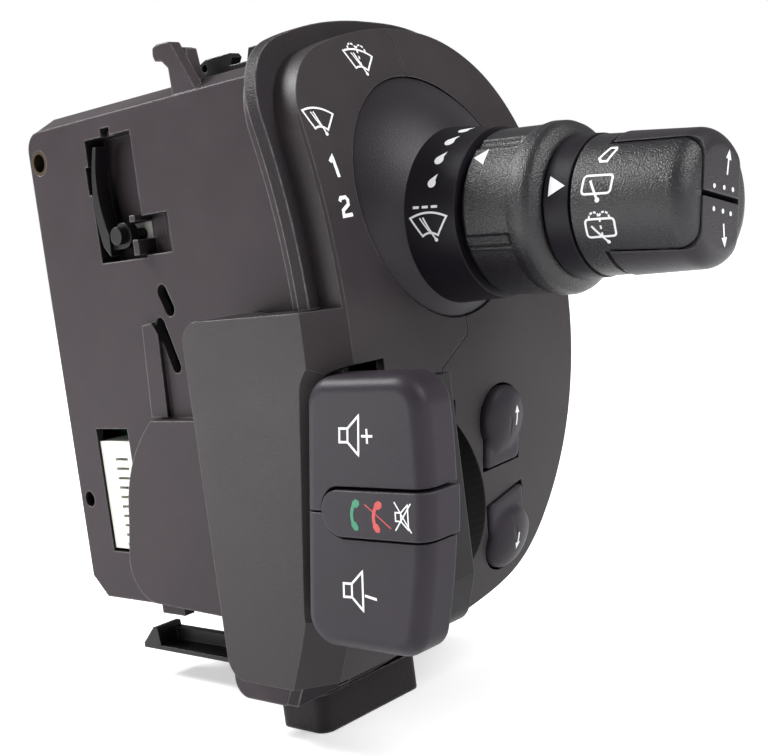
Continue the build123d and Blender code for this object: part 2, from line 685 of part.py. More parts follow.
def call_outline(grow):
    """The stadium-ended call key seen from the driver's side."""
    left = CALL_LEFT + CALL_HALF
    bar = rectangle(left, FAR, KEY_SPLIT_Z - CALL_HALF - grow, KEY_SPLIT_Z + CALL_HALF + grow)
    return bar + Pos(left, KEY_SPLIT_Z) * Circle(CALL_HALF + grow)


def volume_key(block, upper):
    """A volume key: a rounded cap, hollow behind, with a guide post."""
    low, high = (KEY_SPLIT_Z + KEY_SLIT / 2, FAR) if upper else (-2 * FAR, KEY_SPLIT_Z - KEY_SLIT / 2)
    key = block & slab(-FAR, FAR, KEY_FRONT - 2, KEY_BACK + 2, low, high)
    key -= along_y(call_outline(CALL_SLIT), KEY_FRONT - 2, KEY_BACK + 2)
    hollow_low, hollow_high = (KEY_SPLIT_Z + CALL_HALF + CALL_SLIT + KEY_WALL, FAR) if upper else (
        -2 * FAR, KEY_SPLIT_Z - CALL_HALF - CALL_SLIT - KEY_WALL)
    hollow = along_y(key_outline(-KEY_WALL - 1.0), KEY_FRONT + KEY_WALL + 1.0, KEY_BACK + 1)
    key -= hollow & slab(-FAR, FAR, KEY_FRONT, KEY_BACK + 2, hollow_low, hollow_high)
    x, z = key_post(upper)
    return key + rod_y(x, z, POST_R, KEY_FRONT + KEY_WALL, KEY_BACK + 4.0)


def key_post(upper):
    """Where a volume key's guide post stands."""
    return (9.0, KEY_SPLIT_Z + 15.0) if upper else (4.0, KEY_SPLIT_Z - 16.0)


def call_key():
    """The call key between the volume keys, with its own guide post."""
    key = along_y(call_outline(0), KEY_FRONT - 2 * CALL_PROUD, KEY_BACK) & key_block(CALL_PROUD)
    hollow = along_y(call_outline(-KEY_WALL), KEY_FRONT + KEY_WALL, KEY_BACK + 1)
    key -= hollow & along_y(key_outline(-KEY_WALL - 1.0), KEY_FRONT, KEY_BACK + 1)
    return key + rod_y(6.0, KEY_SPLIT_Z, POST_R, KEY_FRONT + KEY_WALL, KEY_BACK + 4.0)


def key_frame():
    """The rigid arm under the audio keys, with a bore for each post and room for the mat."""
    y0 = KEY_BACK + KEY_TRAVEL + 0.4
    outline = key_outline(-FRAME_INSET * 0.3) & rectangle(-30, 27.2 - FRAME_INSET, -FAR * 2, 0)
    frame = along_y(outline, y0, FRAME_BACK)
    frame -= along_y(rectangle(-8.0, 15.0, -84.0, -38.0), y0 + 2.4, FRAME_BACK - 1.6)
    for x, z in (key_post(True), key_post(False), (6.0, KEY_SPLIT_Z)):
        frame -= rod_y(x, z, POST_R + GAP, y0 - 1, y0 + 3)
    return frame


def key_mat():
    """The rubber mat with a dome under each audio key's post."""
    y1 = FRAME_BACK - 1.6 - 1.6
    mat = slab(-7.6, 14.6, y1 - 1.2, y1, -83.6, -38.4)
    for x, z in (key_post(True), key_post(False), (6.0, KEY_SPLIT_Z)):
        mat += rod_y(x, z, 2.2, KEY_BACK + 4.0 + KEY_TRAVEL + 0.2, y1)
    return mat


def key_board():
    """The board under the audio keys' mat."""
    y1 = FRAME_BACK - 1.6
    return slab(-7.8, 14.8, y1 - 1.6, y1, -83.8, -38.2)


def on_stalk(part):
    """Places a piece drawn along X from the pivot onto the stalk's drooping axis."""
    return Pos(*PIVOT) * Rot(0, DROOP, 0) * part


def polar(radius, angle):
    """A point at a radius and an angle from the X axis."""
    return radius * cos(radians(angle)), radius * sin(radians(angle))


def turned(profile):
    """A piece turned about X from points of (station, radius)."""
    return revolve(make_face(Polyline(*profile, close=True)), Axis.X, 360)


def dome():
    """The boot: a cap of a sphere about the pivot, which stays behind the opening as the stalk moves."""
    start = degrees(asin((SLEEVE_R - 1.2) / DOME_R))
    middle = (start + DOME_SPREAD) / 2
    outer = [polar(DOME_R, angle) for angle in (start, middle, DOME_SPREAD)]
    inner = [polar(DOME_R - DOME_T, angle) for angle in (DOME_SPREAD, middle, start)]
    edges = (ThreePointArc(*outer) + Line(outer[2], inner[0]) + ThreePointArc(*inner)
             + Line(inner[2], outer[0]))
    cap = on_stalk(revolve(make_face(edges), Axis.X, 360))
    return cap - slab(-FAR, DOME_CUT_X, -FAR, DOME_CUT_Y, -FAR, FAR)


def mark_sleeve():
    """The fixed sleeve on the boot, with room for its printed marks."""
    inner = SLEEVE_R - 2.4
    foot = SLEEVE_R + 0.4
    angles = [degrees(asin(radius / DOME_R)) for radius in (inner, (inner + foot) / 2, foot)]
    seat = ThreePointArc(*[polar(DOME_R, angle) for angle in angles])
    wall = Polyline(seat @ 1, (SLEEVE_END, SLEEVE_R - 0.6), (SLEEVE_END, CORE_R), (SLEEVE_END - 2.0, CORE_R),
                    (SLEEVE_END - 2.0, inner), seat @ 0)
    sleeve = revolve(make_face(seat + wall), Axis.X, 360)
    return on_stalk(sleeve)


def sensitivity_ring():
    """The turning ring, with five raised grips and a rounded collar."""
    body = turned([(RING_START, CORE_R + 0.4), (RING_START, RING_R + 0.4), (RING_START + 2.0, RING_R + 0.4),
                   (RING_START + 2.6, RING_R - 0.5), (RING_END - 7.4, RING_R - 0.5),
                   (RING_END - 6.4, RING_FLANGE_R - 0.4), (RING_END - 4.6, RING_FLANGE_R),
                   (RING_END - 2.6, RING_FLANGE_R - 0.1), (RING_END - 0.8, RING_FLANGE_R - 1.6),
                   (RING_END, MARKER_R + 0.2), (RING_END, CORE_R + 0.4)])
    pad = turned([(RING_START + 1.0, RING_R - 3.0), (RING_START + 1.0, RING_PAD_R - 0.2),
                  (RING_END - 5.6, RING_PAD_R), (RING_END - 5.6, RING_R - 3.0)])
    reach_y = 2 * RING_PAD_R * cos(radians(RING_PAD_ANGLE / 2))
    reach_z = 2 * RING_PAD_R * sin(radians(RING_PAD_ANGLE / 2))
    corners = [(0, 0), (reach_y, reach_z), (3.2 * RING_PAD_R, 0), (reach_y, -reach_z)]
    wedge = make_face(Polyline(*corners, close=True))
    for index in range(RING_PADS):
        turn = 360 / RING_PADS * index + RING_FIRST
        body += pad & along_x(Rot(0, 0, turn) * wedge, RING_START, RING_END)
    return on_stalk(body)


def marker_ring():
    """The narrow fixed ring between the turning ring and the end cap."""
    ring = turned([(MARKER_START, CORE_R - 1.5), (MARKER_START, MARKER_R), (MARKER_END, MARKER_R - 0.35),
                   (MARKER_END, CORE_R - 1.5)])
    return on_stalk(ring - rod_x(0, 0, CORE_R, MARKER_START - 1, MARKER_END + 1))


def cap_blank(proud=0.0):
    """The outside of the stalk's end: a slight taper with a rounded edge, grown by an amount."""
    end = TIP_END + proud
    blank = turned([(CAP_START, 0), (CAP_START, CAP_R + proud), (end, CAP_END_R + proud), (end, 0)])
    return fillet(blank.edges().sort_by(Axis.X)[-1], TIP_ROUND)


def tongue(grow=0.0):
    """Seen from the driver's side, what the end cap keeps beside its tip keys, with rounded corners."""
    side = rectangle(CAP_START - 1, TIP_END + grow, -CAP_FLAT - grow, CAP_FLAT + grow)
    side = fillet(side.vertices().group_by(Axis.X)[-1], TIP_CORNER + grow)
    return along_y(side, -FAR, FAR)


def on_cap(part):
    """Places a piece of the end cap, turned to its middle position."""
    return on_stalk(Rot(CAP_TURN, 0, 0) * part)


def end_cap():
    """The turning end cap, cut away above, below and across its end for the tip keys."""
    blank = cap_blank()
    body = (blank & slab(CAP_START, ARM_START, -FAR, FAR, -FAR, FAR)) + (blank & tongue())
    body -= slab(CAP_FLOOR, TIP_END + 1, -TIP_HALF, TIP_HALF, -FAR, FAR)
    body -= rod_x(0, 0, CORE_R + GAP + 0.1, CAP_START - 1, CAP_FLOOR + 1)
    return on_cap(body)


def tip_key(side):
    """A tip key: half of the band across the stalk's end, with an arm that runs back along the end cap."""
    low, high = sorted((side * TIP_SPLIT / 2, side * FAR))
    blank = cap_blank(TIP_PROUD)
    arm = blank & slab(ARM_START + TIP_GAP, TIP_END + 1, -FAR, FAR, low, high)
    arm -= tongue(GAP) + Pos(TIP_PRESS, 0, 0) * tongue(GAP)
    back = CAP_FLOOR + TIP_DISC_T + TIP_PRESS + GAP
    band = blank & slab(back, TIP_END + 1, GAP - TIP_HALF, TIP_HALF - GAP, low, high)
    return on_cap(arm + band)


def tip_disc():
    """The seat behind the tip keys, on the stem that carries their contacts."""
    stem = rod_x(0, 0, TIP_STEM_R, CAP_FLOOR - TIP_STEM, CAP_FLOOR)
    return on_cap(stem + rod_x(0, 0, TIP_DISC_R, CAP_FLOOR, CAP_FLOOR + TIP_DISC_T))


def stalk_core():
    """The tube that carries the stalk's rings."""
    tube = rod_x(0, 0, CORE_R, CORE_START, CAP_FLOOR - TIP_STEM - 2 * GAP)
    return on_stalk(tube - rod_x(0, 0, CORE_BORE, CORE_START - 1, CAP_FLOOR))


def pull_carrier():
    """The inner part of the lever's joint, on upright pins, with a tail for the detent plunger."""
    block = slab(-5.0, 7.0, -YOKE_HALF_Y + YOKE_WALL + 2.2, YOKE_HALF_Y - YOKE_WALL - 2.2,
                 -YOKE_HALF_Z + YOKE_WALL + GAP, YOKE_HALF_Z - YOKE_WALL - GAP)
    pins = extrude(Circle(TRUNNION_R), YOKE_HALF_Z - 0.6, both=True)
    neck = rod_x(0, 0, CORE_BORE - SHAFT_GAP, 6.0, 30.0) + rod_x(0, 0, CORE_R, 6.0, CORE_START)
    tail = rod_x(0, 0, PLUNGER_R + 2.0, -15.0, -4.0)
    bore = rod_x(0, 0, PLUNGER_R + SHAFT_GAP, -16.0, -6.0)
    return on_stalk(block + pins + neck + tail - bore)


def detent_plunger():
    """The sprung pin at the tail of the lever's joint."""
    pin = rod_x(0, 0, PLUNGER_R, -16.6, -10.0)
    return on_stalk(pin + Pos(-16.6, 0, 0) * Sphere(PLUNGER_R))


def lift_yoke():
    """The outer part of the lever's joint: a square ring on two pins along Y."""
    half = YOKE_DEPTH / 2
    ring = slab(-half, half, -YOKE_HALF_Y, YOKE_HALF_Y, -YOKE_HALF_Z, YOKE_HALF_Z)
    ring -= slab(-half - 1, half + 1, -YOKE_HALF_Y + YOKE_WALL, YOKE_HALF_Y - YOKE_WALL,
                 -YOKE_HALF_Z + YOKE_WALL, YOKE_HALF_Z - YOKE_WALL)
    ring -= extrude(Circle(TRUNNION_R + SHAFT_GAP), YOKE_HALF_Z + 1, both=True)
    pins = extrude(Plane.XZ * Circle(TRUNNION_R), YOKE_HALF_Y + CHEEK_T + GAP, both=True)
    pins -= slab(-half, half, -YOKE_HALF_Y + 0.5, YOKE_HALF_Y - 0.5, -YOKE_HALF_Z, YOKE_HALF_Z)
    return on_stalk(ring + pins)


def mechanism_frame():
    """The fixed frame of the lever's joint: two cheeks, a back with the detent track, and feet."""
    x, y, z = PIVOT
    inner = YOKE_HALF_Y + GAP
    outer = inner + CHEEK_T
    frame = slab(FRAME_BACK_X, x + 8, y - outer, y + outer, z - 15.0, z + 15.0)
    frame -= slab(FRAME_BACK_X + 3.0, x + 9, y - inner, y + inner, z - 16.0, z + 16.0)
    frame -= rod_y(x, z, TRUNNION_R + SHAFT_GAP, y - outer - 1, y + outer + 1)
    frame += slab(FRAME_BACK_X, FRAME_BACK_X + 3.0, y - outer, BOX_BACK, z - 5.0, z + 5.0)
    return frame


def detent_track():
    """The block with the notches that the plunger rides over."""
    x = FRAME_BACK_X + 3.0
    track = slab(x, x + 5.0, -8.0, 8.0, PIVOT[2] - 12.0, PIVOT[2] + 12.0)
    return track - Pos(*PIVOT) * Sphere(TRACK_R)


def white_bar():
    """The pale bar that shows beside the latch's pin."""
    return slab(-92.0, -70.0, BOX_FRONT + 7.6, BOX_FRONT + 10.0, -2.0, 5.6)


def latch_lever():
    """The curved latch lever in its recess, with a hub at its foot."""
    y0, y1 = BOX_FRONT - 0.4, BOX_FRONT + 3.6
    outer = (Line((-86.6, 23.8), (-87.8, 23.8)) + ThreePointArc((-87.8, 23.8), (-90.6, 12.0), (-89.2, -1.0))
             + Line((-89.2, -1.0), (-86.8, -3.6)) + Line((-86.8, -3.6), (-86.4, 2.0))
             + ThreePointArc((-86.4, 2.0), (-88.6, 12.0), (-86.6, 23.8)))
    arm = along_y(make_face(outer), y0, y1)
    hub = rod_y(*LATCH_PIN, 3.2, y0 + 1.4, y1) + slab(-87.6, LATCH_PIN[0], y0 + 1.4, y1, -2.0, 0.6)
    return arm + hub - rod_y(*LATCH_PIN, LATCH_PIN_R + SHAFT_GAP, y0 - 1, y1 + 1)


def latch_pin():
    """The headed pin that the latch lever turns on."""
    foot = BOX_FRONT + 7.6
    pin = rod_y(*LATCH_PIN, LATCH_PIN_R, BOX_FRONT - 0.2, foot)
    return pin + rod_y(*LATCH_PIN, 2.2, BOX_FRONT - 1.2, BOX_FRONT + 0.7)


def top_bracket():
    """The rail with two pierced lugs on the box's top."""
    base = BOX_TOP + TOP_SLOPE_RISE
    y0, y1 = BOX_FRONT + 9.0, BOX_FRONT + 16.0
    top = base + 4.6
    rail = slab(-55.0, -31.0, y0, y1, base, base + 1.8)
    lug = Polyline((-54.6, base), (-54.6, top - 1.0), (-52.0, top), (-43.4, top),
                   (-42.6, top - 1.0), (-45.0, base), close=True)
    end = Polyline((-38.4, base), (-36.8, top), (-31.0, top), (-31.0, base), close=True)
    return (rail + along_y(make_face(lug), y0, y0 + 3.0) + along_y(make_face(end), y0, y0 + 3.0)
            - rod_y(-52.6, top - 2.0, 0.9, y0 - 1, y0 + 4))


def latch_tongue():
    """The hooked tongue under the box, held at the skirt."""
    y0, y1 = -22.0, -14.0
    foot = SKIRT_BOTTOM - 1.2
    floor = slab(-102.0, SKIRT_LEFT + 3.0, y0, y1, foot, SKIRT_BOTTOM)
    nose = Polyline((-103.6, foot), (-103.6, foot + 1.2), (-98.6, foot + 6.0), (-97.0, foot + 6.0),
                    (-96.2, foot), close=True)
    wall = slab(-97.0, SKIRT_LEFT, y1 - 2.0, y1, foot + 0.4, foot + 4.6)
    return floor + along_y(make_face(nose), y0, y1) + wall


def under_block():
    """The closed connector block under the lever side."""
    block = slab(-40.0, -25.0, -33.0, 0.6, -116.4, SKIRT_BOTTOM)
    return fillet(block.edges().filter_by(Axis.Z), 3.0)


def cover_screws():
    """The screws that hold the back cover to the box."""
    screws = []
    for x, z in ((-104.0, -86.0), (-34.0, 24.6)):
        head = rod_y(x, z, 2.6, BOX_BACK + COVER_T, BOX_BACK + COVER_T + 1.8)
        screws.append(head)
    return Compound(children=screws)


def build():
    """Every node by name."""
    layer = shell_layer()
    block = key_block()
    case = housing()
    return {
        "main_housing": main_housing(case), "box_body": box_body(case),
        "back_cover": back_cover(), "screw_bush": screw_bush(),
        "cover_screws": cover_screws(), "flange_frame": flange_frame(),
        "front_shell": front_shell(layer), "rear_shell": rear_shell(layer),
        "white_connector": white_connector(), "connector_pins": connector_pins(),
        "circuit_board": circuit_board(), "board_chips": board_chips(), "board_socket": board_socket(),
        "thumbwheel": thumbwheel(), "wheel_axle": wheel_axle(), "wheel_bracket": wheel_bracket(),
        "source_up_key": source_key(SOURCE_UP, SOURCE_UP_END),
        "source_down_key": source_key(SOURCE_DOWN, SOURCE_DOWN_END),
        "source_mat": source_mat(), "source_board": source_board(),
        "volume_up_key": volume_key(block, True), "volume_down_key": volume_key(block, False),
        "call_key": call_key(), "key_frame": key_frame(), "key_mat": key_mat(), "key_board": key_board(),
        "dome": dome(), "mark_sleeve": mark_sleeve(), "sensitivity_ring": sensitivity_ring(),
        "marker_ring": marker_ring(), "end_cap": end_cap(), "tip_up_key": tip_key(1),
        "tip_down_key": tip_key(-1), "tip_disc": tip_disc(), "stalk_core": stalk_core(),
        "pull_carrier": pull_carrier(), "detent_plunger": detent_plunger(),
        "lift_yoke": lift_yoke(), "mechanism_frame": mechanism_frame(), "detent_track": detent_track(),
        "white_bar": white_bar(), "latch_lever": latch_lever(), "latch_pin": latch_pin(),
        "top_bracket": top_bracket(), "latch_tongue": latch_tongue(), "under_block": under_block(),
    }


os.makedirs("parts", exist_ok=True)
for name, solid in build().items():
    export_step(Pos(-UPPER_HOLE[0], -BOX_FRONT, -UPPER_HOLE[1]) * solid, f"parts/{name}.step")
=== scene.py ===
import math

import bpy
from mathutils import Matrix, Vector
from mathutils.bvhtree import BVHTree


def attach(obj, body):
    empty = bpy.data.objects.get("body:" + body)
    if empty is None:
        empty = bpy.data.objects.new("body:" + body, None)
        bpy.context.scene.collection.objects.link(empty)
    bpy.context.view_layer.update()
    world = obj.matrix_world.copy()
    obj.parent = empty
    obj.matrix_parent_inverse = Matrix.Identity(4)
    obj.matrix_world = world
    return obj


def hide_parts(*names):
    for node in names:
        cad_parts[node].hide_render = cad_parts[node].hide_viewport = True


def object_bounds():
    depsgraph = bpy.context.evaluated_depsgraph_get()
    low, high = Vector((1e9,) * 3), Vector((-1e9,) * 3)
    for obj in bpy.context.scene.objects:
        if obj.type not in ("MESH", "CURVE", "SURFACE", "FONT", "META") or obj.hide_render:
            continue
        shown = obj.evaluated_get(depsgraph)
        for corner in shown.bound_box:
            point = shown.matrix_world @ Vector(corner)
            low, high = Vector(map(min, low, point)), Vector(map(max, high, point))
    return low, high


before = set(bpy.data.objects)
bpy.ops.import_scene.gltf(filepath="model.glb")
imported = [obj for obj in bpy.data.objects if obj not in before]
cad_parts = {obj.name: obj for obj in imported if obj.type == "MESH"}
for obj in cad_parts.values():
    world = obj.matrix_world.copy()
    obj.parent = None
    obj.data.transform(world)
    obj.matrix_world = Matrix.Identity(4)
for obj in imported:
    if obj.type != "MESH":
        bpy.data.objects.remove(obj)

MM = 0.001
CAD_LOW, CAD_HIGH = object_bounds()

# The CAD was drawn about the centre of the boot's opening; the frame's origin is the upper screw hole.
DRAWN_ORIGIN = Vector((112.4, 26.0, -23.2))

# The stalk's axis in the drawn frame: its pivot and its droop
STALK_PIVOT = Vector((-24.0, 0.0, -3.4))
STALK_DROOP = math.radians(3.1)
STALK_ALONG = Vector((math.cos(STALK_DROOP), 0.0, -math.sin(STALK_DROOP)))
STALK_ACROSS = Vector((0.0, 1.0, 0.0))
STALK_UP = Vector((math.sin(STALK_DROOP), 0.0, math.cos(STALK_DROOP)))

# Printed marks in mm: height of the first layer, thickness, rise of each further layer, step along
# a stroke. A stroke's corner widens to no more than its width over MITRE_LEAST.
PRINT_TOP = 0.030
PRINT_THICK = 0.055
PRINT_STEP = 0.001
STROKE_STEP = 0.7
MITRE_LEAST = 0.55


def drawn(x, y, z):
    """A point of the CAD drawing, in mm, as a point of the row frame."""
    return (Vector((x, y, z)) + DRAWN_ORIGIN) * MM


# Camera, solved from the box's edges and the stalk's rings

CAMERA_AT = (0.29608, -0.19942, -0.03164)
CAMERA_RIGHT = (0.7386102, 0.6620760, -0.1269266)
CAMERA_UP = (0.0242053, 0.1621138, 0.9864751)
CAMERA_BACK = (0.6736981, -0.7316929, 0.1037132)
FOCAL_PIXELS = 1301.0
IMAGE_WIDTH = 768.0
SENSOR_MM = 36.0


def make_camera():
    """The camera at the photograph's angle."""
    data = bpy.data.cameras.new("camera")
    data.sensor_fit = "HORIZONTAL"
    data.sensor_width = SENSOR_MM
    data.lens = SENSOR_MM * FOCAL_PIXELS / IMAGE_WIDTH
    data.clip_start, data.clip_end = 0.01, 20.0
    camera = bpy.data.objects.new("camera", data)
    rows = zip(CAMERA_RIGHT, CAMERA_UP, CAMERA_BACK, CAMERA_AT)
    camera.matrix_world = Matrix([list(row) for row in rows] + [[0, 0, 0, 1]])
    bpy.context.scene.collection.objects.link(camera)
    bpy.context.scene.camera = camera


make_camera()


# Materials


class Tree:
    """A short way to write a material's node tree."""

    def __init__(self, name):
        self.material = bpy.data.materials.new(name)
        self.material.use_nodes = True
        self.nodes = self.material.node_tree.nodes
        self.links = self.material.node_tree.links
        self.shader = self.nodes["Principled BSDF"]

    def add(self, kind, values=None, **settings):
        node = self.nodes.new(kind)
        for key, value in settings.items():
            setattr(node, key, value)
        for key, value in (values or {}).items():
            if isinstance(value, bpy.types.NodeSocket):
                self.links.new(value, node.inputs[key])
            else:
                node.inputs[key].default_value = value
        return node

    def maths(self, operation, a, b=0.0, clamp=False):
        return self.add("ShaderNodeMath", {0: a, 1: b}, operation=operation, use_clamp=clamp).outputs[0]

    def span(self, value, low, high, to_low, to_high):
        values = {"Value": value, "From Min": low, "From Max": high,
                  "To Min": to_low, "To Max": to_high}
        return self.add("ShaderNodeMapRange", values).outputs["Result"]

    def mix(self, factor, a, b):
        node = self.add("ShaderNodeMix", data_type="RGBA")
        for socket, value in (("Factor_Float", factor), ("A_Color", a), ("B_Color", b)):
            found = next(s for s in node.inputs if s.identifier == socket)
            if isinstance(value, bpy.types.NodeSocket):
                self.links.new(value, found)
            else:
                found.default_value = value
        return next(s for s in node.outputs if s.identifier == "Result_Color")

    def noise(self, where, scale, detail=2.0, rough=0.5):
        values = {"Vector": where, "Scale": scale, "Detail": detail, "Roughness": rough}
        return self.add("ShaderNodeTexNoise", values).outputs["Fac"]


def rgba(colour):
    return (*colour, 1.0)


def lighter(colour, share):
    return tuple(c + (1.0 - c) * share for c in colour)


# Moulded plastic: noise scales per metre, the rim as the cosine between its two normals, heights
# and reaches in mm
BROAD_SCALE = 55.0
SMEAR_SCALE = 420.0
RIM_FROM = 0.996
RIM_FULL = 0.92
# How far a rim goes towards white, partly as wear and partly as a painted edge highlight
WORN_AND_HIGHLIGHT_SHARE = 0.65
BUMP_HEIGHT = 0.22
# Painted shade in recesses: how far the occlusion test reaches in mm, and the darkest colour
PAINTED_SHADE_REACH = 14.0
PAINTED_SHADE_DARK = (0.002, 0.002, 0.002)


def moulded(name, colour, rough, grain=0.35, grain_size=0.28, patch=0.12, wear_and_edge_highlight=0.05, edge=0.35,
            specular=0.5, painted_hollow_shade=0.0, ridges=None):
    """Moulded plastic: fine grain, faint mottling, soft edges lightened partly as wear and partly as a
    painted edge highlight, and painted shade in recesses.

    grain_size and edge are in mm. painted_hollow_shade is how far the painted shade in recesses goes to
    black.
    """
    tree = Tree(name)
    where = tree.add("ShaderNodeTexCoord").outputs["Object"]
    fine = tree.noise(where, 1.0 / (grain_size * MM), 2.0, 0.6)
    broad = tree.noise(where, BROAD_SCALE, 3.0, 0.55)
    smear = tree.noise(where, SMEAR_SCALE, 4.0, 0.65)
    soft = tree.add("ShaderNodeBevel", {"Radius": edge * MM}, samples=4).outputs["Normal"]
    true = tree.add("ShaderNodeNewGeometry").outputs["Normal"]
    dot = tree.add("ShaderNodeVectorMath", {0: soft, 1: true}, operation="DOT_PRODUCT").outputs["Value"]
    rim = tree.span(dot, RIM_FROM, RIM_FULL, 0.0, 1.0)
    worn_and_highlit_rim = tree.maths("MULTIPLY", rim, tree.span(smear, 0.35, 0.65, 0.35, 1.0))
    base = tree.mix(tree.span(broad, 0.3, 0.7, 0.0, 1.0), rgba([c * (1 - patch) for c in colour]),
                    rgba([c * (1 + patch) for c in colour]))
    # Rims lightened, partly as wear and partly as a painted edge highlight
    base = tree.mix(tree.maths("MULTIPLY", worn_and_highlit_rim, wear_and_edge_highlight), base, rgba(lighter(colour, WORN_AND_HIGHLIGHT_SHARE)))
    # Painted shade: recesses darkened towards black where ambient occlusion finds little open sky
    if painted_hollow_shade:
        sky = tree.add("ShaderNodeAmbientOcclusion", {"Distance": PAINTED_SHADE_REACH * MM}, samples=4)
        shade = tree.span(sky.outputs["AO"], 0.25, 0.75, painted_hollow_shade, 0.0)
        base = tree.mix(shade, base, rgba(PAINTED_SHADE_DARK))
    tree.links.new(base, tree.shader.inputs["Base Color"])
    shine = tree.maths("ADD", tree.span(broad, 0.25, 0.75, rough - 0.05, rough + 0.05),
                       tree.span(fine, 0.2, 0.8, -0.03, 0.03))
    shine = tree.maths("SUBTRACT", shine, tree.maths("MULTIPLY", rim, 0.10), clamp=True)
    tree.links.new(shine, tree.shader.inputs["Roughness"])
    tree.shader.inputs["Specular IOR Level"].default_value = specular
    height = fine
    if ridges is not None:
        height = tree.maths("ADD", tree.maths("MULTIPLY", fine, 0.15), ridges(tree, where))
    values = {"Strength": grain, "Distance": BUMP_HEIGHT * MM, "Height": height, "Normal": soft}
    bump = tree.add("ShaderNodeBump", values)
    tree.links.new(bump.outputs["Normal"], tree.shader.inputs["Normal"])
    return tree.material


SQUEEZE = (1.0, 0.12, 1.0)
SCRATCH = 0.3


def metal(name, colour, rough):
    """Plated metal: fine scratches along Y and a little dulling."""
    tree = Tree(name)
    where = tree.add("ShaderNodeTexCoord").outputs["Object"]
    squeezed = tree.add("ShaderNodeMapping", {"Vector": where, "Scale": SQUEEZE}).outputs["Vector"]
    lines = tree.noise(squeezed, 3000.0, 3.0, 0.6)
    dull = tree.noise(where, 300.0, 3.0, 0.5)
    dulled = rgba([c * 0.72 for c in colour])
    base = tree.mix(tree.span(dull, 0.35, 0.7, 0.0, 0.5), rgba(colour), dulled)
    tree.links.new(base, tree.shader.inputs["Base Color"])
    tree.links.new(tree.span(dull, 0.3, 0.7, rough, rough + 0.18), tree.shader.inputs["Roughness"])
    tree.shader.inputs["Metallic"].default_value = 1.0
    bump = tree.add("ShaderNodeBump", {"Strength": SCRATCH, "Distance": 0.00002, "Height": lines})
    tree.links.new(bump.outputs["Normal"], tree.shader.inputs["Normal"])
    return tree.material


LACQUER = (0.010, 0.190, 0.085)
TRACK = (0.020, 0.270, 0.125)
TINNED = (0.52, 0.52, 0.5)


def circuit(name):
    """A circuit board: green lacquer with faint tracks and tinned pads."""
    tree = Tree(name)
    where = tree.add("ShaderNodeTexCoord").outputs["Object"]
    brick = tree.add("ShaderNodeTexVoronoi", {"Vector": where, "Scale": 420.0}, distance="CHEBYCHEV")
    tracks = tree.span(brick.outputs["Distance"], 0.42, 0.5, 0.0, 0.55)
    pads = tree.add("ShaderNodeTexVoronoi", {"Vector": where, "Scale": 260.0})
    tinned = tree.span(pads.outputs["Distance"], 0.12, 0.10, 0.0, 1.0)
    base = tree.mix(tracks, rgba(LACQUER), rgba(TRACK))
    base = tree.mix(tinned, base, rgba(TINNED))
    tree.links.new(base, tree.shader.inputs["Base Color"])
    tree.links.new(tree.span(tinned, 0.0, 1.0, 0.32, 0.2), tree.shader.inputs["Roughness"])
    bump = tree.add("ShaderNodeBump", {"Strength": 0.4, "Distance": 0.00004, "Height": tracks})
    tree.links.new(bump.outputs["Normal"], tree.shader.inputs["Normal"])
    return tree.material


def ink(name, colour):
    """Printed ink: nearly flat colour with thin patches and a fine surface."""
    tree = Tree(name)
    where = tree.add("ShaderNodeTexCoord").outputs["Object"]
    thin = tree.noise(where, 1400.0, 3.0, 0.6)
    worn = rgba([c * 0.7 for c in colour])
    base = tree.mix(tree.span(thin, 0.3, 0.75, 0.0, 0.25), rgba(colour), worn)
    tree.links.new(base, tree.shader.inputs["Base Color"])
    tree.links.new(tree.span(thin, 0.3, 0.7, 0.42, 0.58), tree.shader.inputs["Roughness"])
    bump = tree.add("ShaderNodeBump", {"Strength": 0.2, "Distance": 0.00002, "Height": thin})
    tree.links.new(bump.outputs["Normal"], tree.shader.inputs["Normal"])
    return tree.material


WHEEL_CENTRE = drawn(-16.0, -10.5, -65.5)
WHEEL_RIBS = 84


def wheel_ridges(tree, where):
    """Ribs across the thumbwheel's rim, as a height."""
    shifted = tree.add("ShaderNodeVectorMath", {0: where, 1: WHEEL_CENTRE}, operation="SUBTRACT")
    split = tree.add("ShaderNodeSeparateXYZ", {0: shifted.outputs[0]}).outputs
    angle = tree.maths("ARCTAN2", split["Z"], split["X"])
    return tree.maths("SINE", tree.maths("MULTIPLY", angle, float(WHEEL_RIBS)))


HOUSING = (0.0450, 0.0365, 0.0410)
CHARCOAL = (0.0260, 0.0210, 0.0236)
FRAME_DARK = (0.0205, 0.0168, 0.0194)
GRAINED = (0.0085, 0.0070, 0.0090)
KEY_DARK = (0.0290, 0.0245, 0.0310)
DOME_DARK = (0.0200, 0.0168, 0.0212)
SLEEVE_DARK = (0.0090, 0.0074, 0.0104)
DEEP_BLACK = (0.0075, 0.0062, 0.0075)

WHEEL_BLACK = (0.0030, 0.0028, 0.0032)
CONNECTOR_WHITE = (0.78, 0.78, 0.72)
RESIN = (0.012, 0.012, 0.013)
MAT_GREY = (0.16, 0.16, 0.165)
ZINC = (0.62, 0.62, 0.60)
DULL_BRASS = (0.075, 0.055, 0.032)
TIN = (0.72, 0.70, 0.66)
PRINT_WHITE = (0.86, 0.87, 0.88)
PRINT_GREEN = (0.015, 0.22, 0.11)
PRINT_RED = (0.55, 0.050, 0.045)

